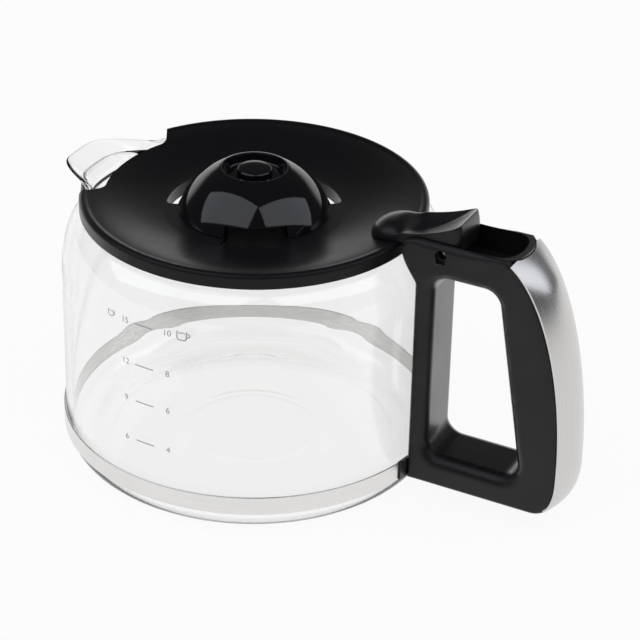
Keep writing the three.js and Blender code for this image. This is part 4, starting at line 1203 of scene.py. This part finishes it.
def soft_shading():
    """A modifier tree that shades a solid smooth, apart from its sharp edges"""
    tree = bpy.data.node_groups.get("Soft shading")
    if tree:
        return tree
    tree = bpy.data.node_groups.new("Soft shading", "GeometryNodeTree")
    for side in ("INPUT", "OUTPUT"):
        tree.interface.new_socket(name="Geometry", in_out=side, socket_type="NodeSocketGeometry")
    angle = tree.nodes.new("GeometryNodeInputMeshEdgeAngle").outputs["Unsigned Angle"]
    sharp = add_node(tree, "FunctionNodeCompare", {"A": angle, "B": radians(32)}, operation="GREATER_THAN")
    chain = [
        tree.nodes.new("NodeGroupInput"),
        add_node(tree, "GeometryNodeRemoveAttribute", {"Name": "custom_normal"}),
        add_node(tree, "GeometryNodeMergeByDistance", {"Distance": 10 * WELD}),
        add_node(tree, "GeometryNodeSetShadeSmooth", {}, domain="FACE"),
        add_node(tree, "GeometryNodeSetShadeSmooth",
                 {"Selection": sharp.outputs["Result"], "Shade Smooth": False}, domain="EDGE"),
        tree.nodes.new("NodeGroupOutput")]
    for before, after in zip(chain, chain[1:]):
        tree.links.new(before.outputs["Geometry"], after.inputs["Geometry"])
    return tree


def finish_solid(node, material):
    """Finishes a solid that the scene shows as it is"""
    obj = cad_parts[node]
    obj.data.materials.clear()
    obj.data.materials.append(material)
    obj.modifiers.new("Soft shading", "NODES").node_group = soft_shading()
    weigh_normals(obj)


class CARAFE_OT_fixings(Operator):
    """Turns the hinge pin and finishes the clamp and the screws"""
    bl_idname = "carafe.fixings"
    bl_label = "Clamp, pin and screws"

    def execute(self, context):
        finish_solid("band_clamp", moulding("Black moulding"))
        radius, shank = PIN_HOLE - GAP, HANDLE_HALF_WIDTH - PIN_SETBACK - PIN_DOME
        cap = [(radius * cos(a), shank + PIN_DOME * sin(a)) for a in spread(0, pi / 2, 6)[:-1]]
        mesh = mesh_of(lying([*[(r, -y) for r, y in reversed(cap)], *cap], *HINGE), False)
        pin = piece("pin_rod", mesh, screw_steel(), "jug", 40)
        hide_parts("hinge_pin")
        for node in ("band_screw", "cover_screw", "lever_screw_left", "lever_screw_right"):
            finish_solid(node, screw_steel())
        return {"FINISHED"}


# Cup marks

def print_on_glass(name, outline_mesh, azimuth, height):
    """Wraps a flat mesh, drawn about its own origin, on to the jug's wall"""
    for vert in outline_mesh.vertices:
        x, y, z = vert.co
        radius = BODY_RADIUS + INK_LIFT + INK_DEPTH + z
        vert.co = (*polar(radius, azimuth + x / BODY_RADIUS), height + y)
    return piece(name, outline_mesh, mark_ink(), "jug", 40)


def numeral(text, size):
    curve = bpy.data.curves.new("numeral", "FONT")
    curve.body = text
    curve.size = size / CAP_SHARE
    curve.align_x = "CENTER"
    curve.align_y = "CENTER"
    curve.extrude = INK_DEPTH
    obj = linked("numeral", curve)
    mesh = evaluated_mesh(obj)
    bpy.data.objects.remove(obj)
    bpy.data.curves.remove(curve)
    return mesh


def stroke(points, width):
    """A flat line of even width through the points, as a thin mesh"""
    rings = []
    for i, (x, y) in enumerate(points):
        before, after = points[max(0, i - 1)], points[min(len(points) - 1, i + 1)]
        dx, dy = after[0] - before[0], after[1] - before[1]
        half = width / 2 / hypot(dx, dy)
        rings.append([(x - side * dy * half, y + side * dx * half, depth)
                      for side, depth in ((-1, -INK_DEPTH), (1, -INK_DEPTH), (1, INK_DEPTH), (-1, INK_DEPTH))])
    return mesh_of(loft(rings))


def cup_icon(size):
    """A cup from the side, drawn with thin lines: bowl, handle and the level of the coffee"""
    width = 0.1 * size
    w, h, corner = 0.42 * size, 0.42 * size, 0.22 * size
    turn = arc(corner - w, corner - h, corner, pi, 1.5 * pi, 6)
    bowl = [(-w, h), *turn, *[(-x, y) for x, y in reversed(turn)], (w, h)]
    bow = [(w + 0.3 * size * cos(a), 0.18 * h + 0.48 * h * sin(a))
           for a in spread(pi / 2, -pi / 2, 10)]
    level = [(x, 0.62 * h + 0.06 * size * sin(2 * pi * x / w)) for x in spread(-0.72 * w, 0.72 * w, 10)]
    return {"bowl": stroke(bowl, width), "bow": stroke(bow, width), "level": stroke(level, 0.8 * width)}


class CARAFE_OT_marks(Operator):
    """Prints the cup graduations on the glass"""
    bl_idname = "carafe.marks"
    bl_label = "Cup marks"

    def execute(self, context):
        detail = context.scene.carafe_detail
        half = detail.mark_line / 2
        for row, z in enumerate(MARK_HEIGHTS):
            line = stroke([(x, 0) for x in spread(-half, half, 8)], MARK_WIDTH)
            print_on_glass(f"mark_line_{row + 1}", line, MARK_AZIMUTH, z)
            for side, name, words in ((-1, "small", SMALL_CUPS), (1, "large", LARGE_CUPS)):
                mesh = numeral(words[row], detail.mark_height)
                azimuth = MARK_AZIMUTH + (side * (half + NUMERAL_GAP) + NUMERAL_SHIFT) / BODY_RADIUS
                print_on_glass(f"mark_{name}_{row + 1}", mesh, azimuth, z)
        for side, size, name in ((-1, 3.0 * MM, "small"), (1, 4.2 * MM, "large")):
            azimuth = MARK_AZIMUTH + side * (half + ICON_GAP) / BODY_RADIUS
            for part, mesh in cup_icon(size).items():
                print_on_glass(f"cup_{name}_{part}", mesh, azimuth, MARK_HEIGHTS[0] + ICON_LIFT)
        return {"FINISHED"}


# Studio

def aimed(place, target, roll):
    """The matrix of a lamp or camera at a place, turned to a target and rolled by some degrees"""
    aim = (target - place).to_track_quat("-Z", "Y").to_matrix().to_4x4()
    return Matrix.Translation(place) @ aim @ Matrix.Rotation(radians(roll), 4, "Z")


class CARAFE_OT_studio(Operator):
    """Sets the pale floor, the soft light and the camera"""
    bl_idname = "carafe.studio"
    bl_label = "Studio"

    def execute(self, context):
        scene = context.scene
        scene.view_settings.view_transform = "Standard"
        self.floor(scene.carafe_studio)
        self.world(scene, scene.carafe_studio)
        for softbox in SOFTBOXES:
            self.softbox(scene.carafe_studio, *softbox)
        self.camera(scene)
        return {"FINISHED"}

    def floor(self, studio):
        """A pale floor that glows to the camera, in mirrors and through glass"""
        material = surface("Pale floor", lambda tree: {
            "Base Color": (*studio.floor_colour, 1), "Roughness": 0.9, "Specular IOR Level": 0.0})
        tree = material.node_tree
        glow = add_node(tree, "ShaderNodeEmission", {"Strength": 1.0})
        rays = tree.nodes.new("ShaderNodeLightPath").outputs
        seen = calculate(tree, "MAXIMUM", rays["Is Camera Ray"], rays["Is Glossy Ray"])
        seen = calculate(tree, "MAXIMUM", seen, rays["Is Transmission Ray"])
        both = add_node(tree, "ShaderNodeMixShader", {
            "Fac": calculate(tree, "MULTIPLY", seen, FLOOR_GLOW),
            1: tree.nodes["Principled BSDF"].outputs["BSDF"], 2: glow.outputs["Emission"]})
        feed(tree, tree.nodes["Material Output"], {"Surface": both.outputs["Shader"]})
        bm = bmesh.new()
        bmesh.ops.create_grid(bm, x_segments=8, y_segments=8, size=6)
        mesh = bpy.data.meshes.new("floor")
        bm.to_mesh(mesh)
        bm.free()
        mesh.materials.append(material)
        obj = linked("floor", mesh)
        obj.location.z = -0.1 * MM

    def world(self, scene, studio):
        """White to the camera and through glass, and a dim room with a white sweep behind in mirrors"""
        scene.world = bpy.data.worlds.new("Studio")
        scene.world.use_nodes = True
        tree = scene.world.node_tree
        place = tree.nodes.new("ShaderNodeTexCoord").outputs["Generated"]
        height = add_node(tree, "ShaderNodeSeparateXYZ", {"Vector": place}).outputs["Z"]
        behind = add_node(tree, "ShaderNodeVectorMath", {0: place, 1: BEHIND}, operation="DOT_PRODUCT")
        sweep = ramp(tree, behind.outputs["Value"], *SWEEP_EDGE, 0.0, 1.0, "SMOOTHSTEP")
        low = ramp(tree, height, *SWEEP_TOP, 1.0, 0.0, "SMOOTHSTEP")
        room = ramp(tree, calculate(tree, "MULTIPLY", sweep, low), 0.0, 1.0, studio.room, 1.0, "SMOOTHSTEP")
        rays = tree.nodes.new("ShaderNodeLightPath").outputs
        clear = calculate(tree, "MAXIMUM", rays["Is Camera Ray"], rays["Is Transmission Ray"])
        mirrored = add_node(tree, "ShaderNodeMix", {
            "Factor": rays["Is Glossy Ray"], "A": studio.ambient, "B": room})
        seen = add_node(tree, "ShaderNodeMix", {"Factor": clear, "A": mirrored.outputs["Result"], "B": 1.0})
        feed(tree, tree.nodes["Background"], {"Color": (1, 1, 1, 1), "Strength": seen.outputs["Result"]})

    def softbox(self, studio, name, azimuth, elevation, width, height, roll):
        lamp = bpy.data.lights.new(name, "AREA")
        lamp.shape = "RECTANGLE"
        lamp.size, lamp.size_y = width, height
        lamp.energy = studio.softbox_strength * pi * width * height
        lamp.color = SOFTBOX_COLOUR
        a, e = radians(azimuth), radians(elevation)
        way = Vector((*polar(cos(e), a), sin(e)))
        linked(name, lamp).matrix_world = aimed(SOFTBOX_TARGET + SOFTBOX_DISTANCE * way, SOFTBOX_TARGET, roll)

    def camera(self, scene):
        lens = bpy.data.cameras.new("Camera")
        lens.lens = CAMERA_LENS
        lens.sensor_width = 36
        lens.clip_start = 0.01
        scene.camera = linked("Camera", lens)
        scene.camera.matrix_world = aimed(CAMERA_PLACE, CAMERA_TARGET, CAMERA_ROLL)


class CARAFE_PT_pieces(Panel):
    bl_label = "Carafe"
    bl_idname = "CARAFE_PT_pieces"
    bl_space_type = "VIEW_3D"
    bl_region_type = "UI"
    bl_category = "Carafe"

    def draw(self, context):
        for operator in OPERATORS:
            self.layout.operator(operator.bl_idname)
        for key, cls in GROUPS.items():
            for name in cls.__annotations__:
                self.layout.prop(getattr(context.scene, key), name)


OPERATORS = (
    CARAFE_OT_glass, CARAFE_OT_band, CARAFE_OT_cover, CARAFE_OT_fixings, CARAFE_OT_frame,
    CARAFE_OT_lever, CARAFE_OT_dish, CARAFE_OT_dome,
    CARAFE_OT_marks, CARAFE_OT_studio)
GROUPS = {"carafe_finishes": CarafeFinishes, "carafe_detail": CarafeDetail, "carafe_studio": CarafeStudio}


def register():
    for cls in (*GROUPS.values(), *OPERATORS, CARAFE_PT_pieces):
        bpy.utils.register_class(cls)
    for name, cls in GROUPS.items():
        setattr(bpy.types.Scene, name, PointerProperty(type=cls))


def unregister():
    for name in GROUPS:
        delattr(bpy.types.Scene, name)
    for cls in reversed((*GROUPS.values(), *OPERATORS, CARAFE_PT_pieces)):
        bpy.utils.unregister_class(cls)


def main():
    register()
    bpy.ops.carafe.glass()
    bpy.ops.carafe.band()
    bpy.ops.carafe.cover()
    bpy.ops.carafe.fixings()
    bpy.ops.carafe.frame()
    bpy.ops.carafe.lever()
    bpy.ops.carafe.dish()
    bpy.ops.carafe.dome()
    bpy.ops.carafe.marks()
    bpy.ops.carafe.studio()


if __name__ == "__main__":
    main()
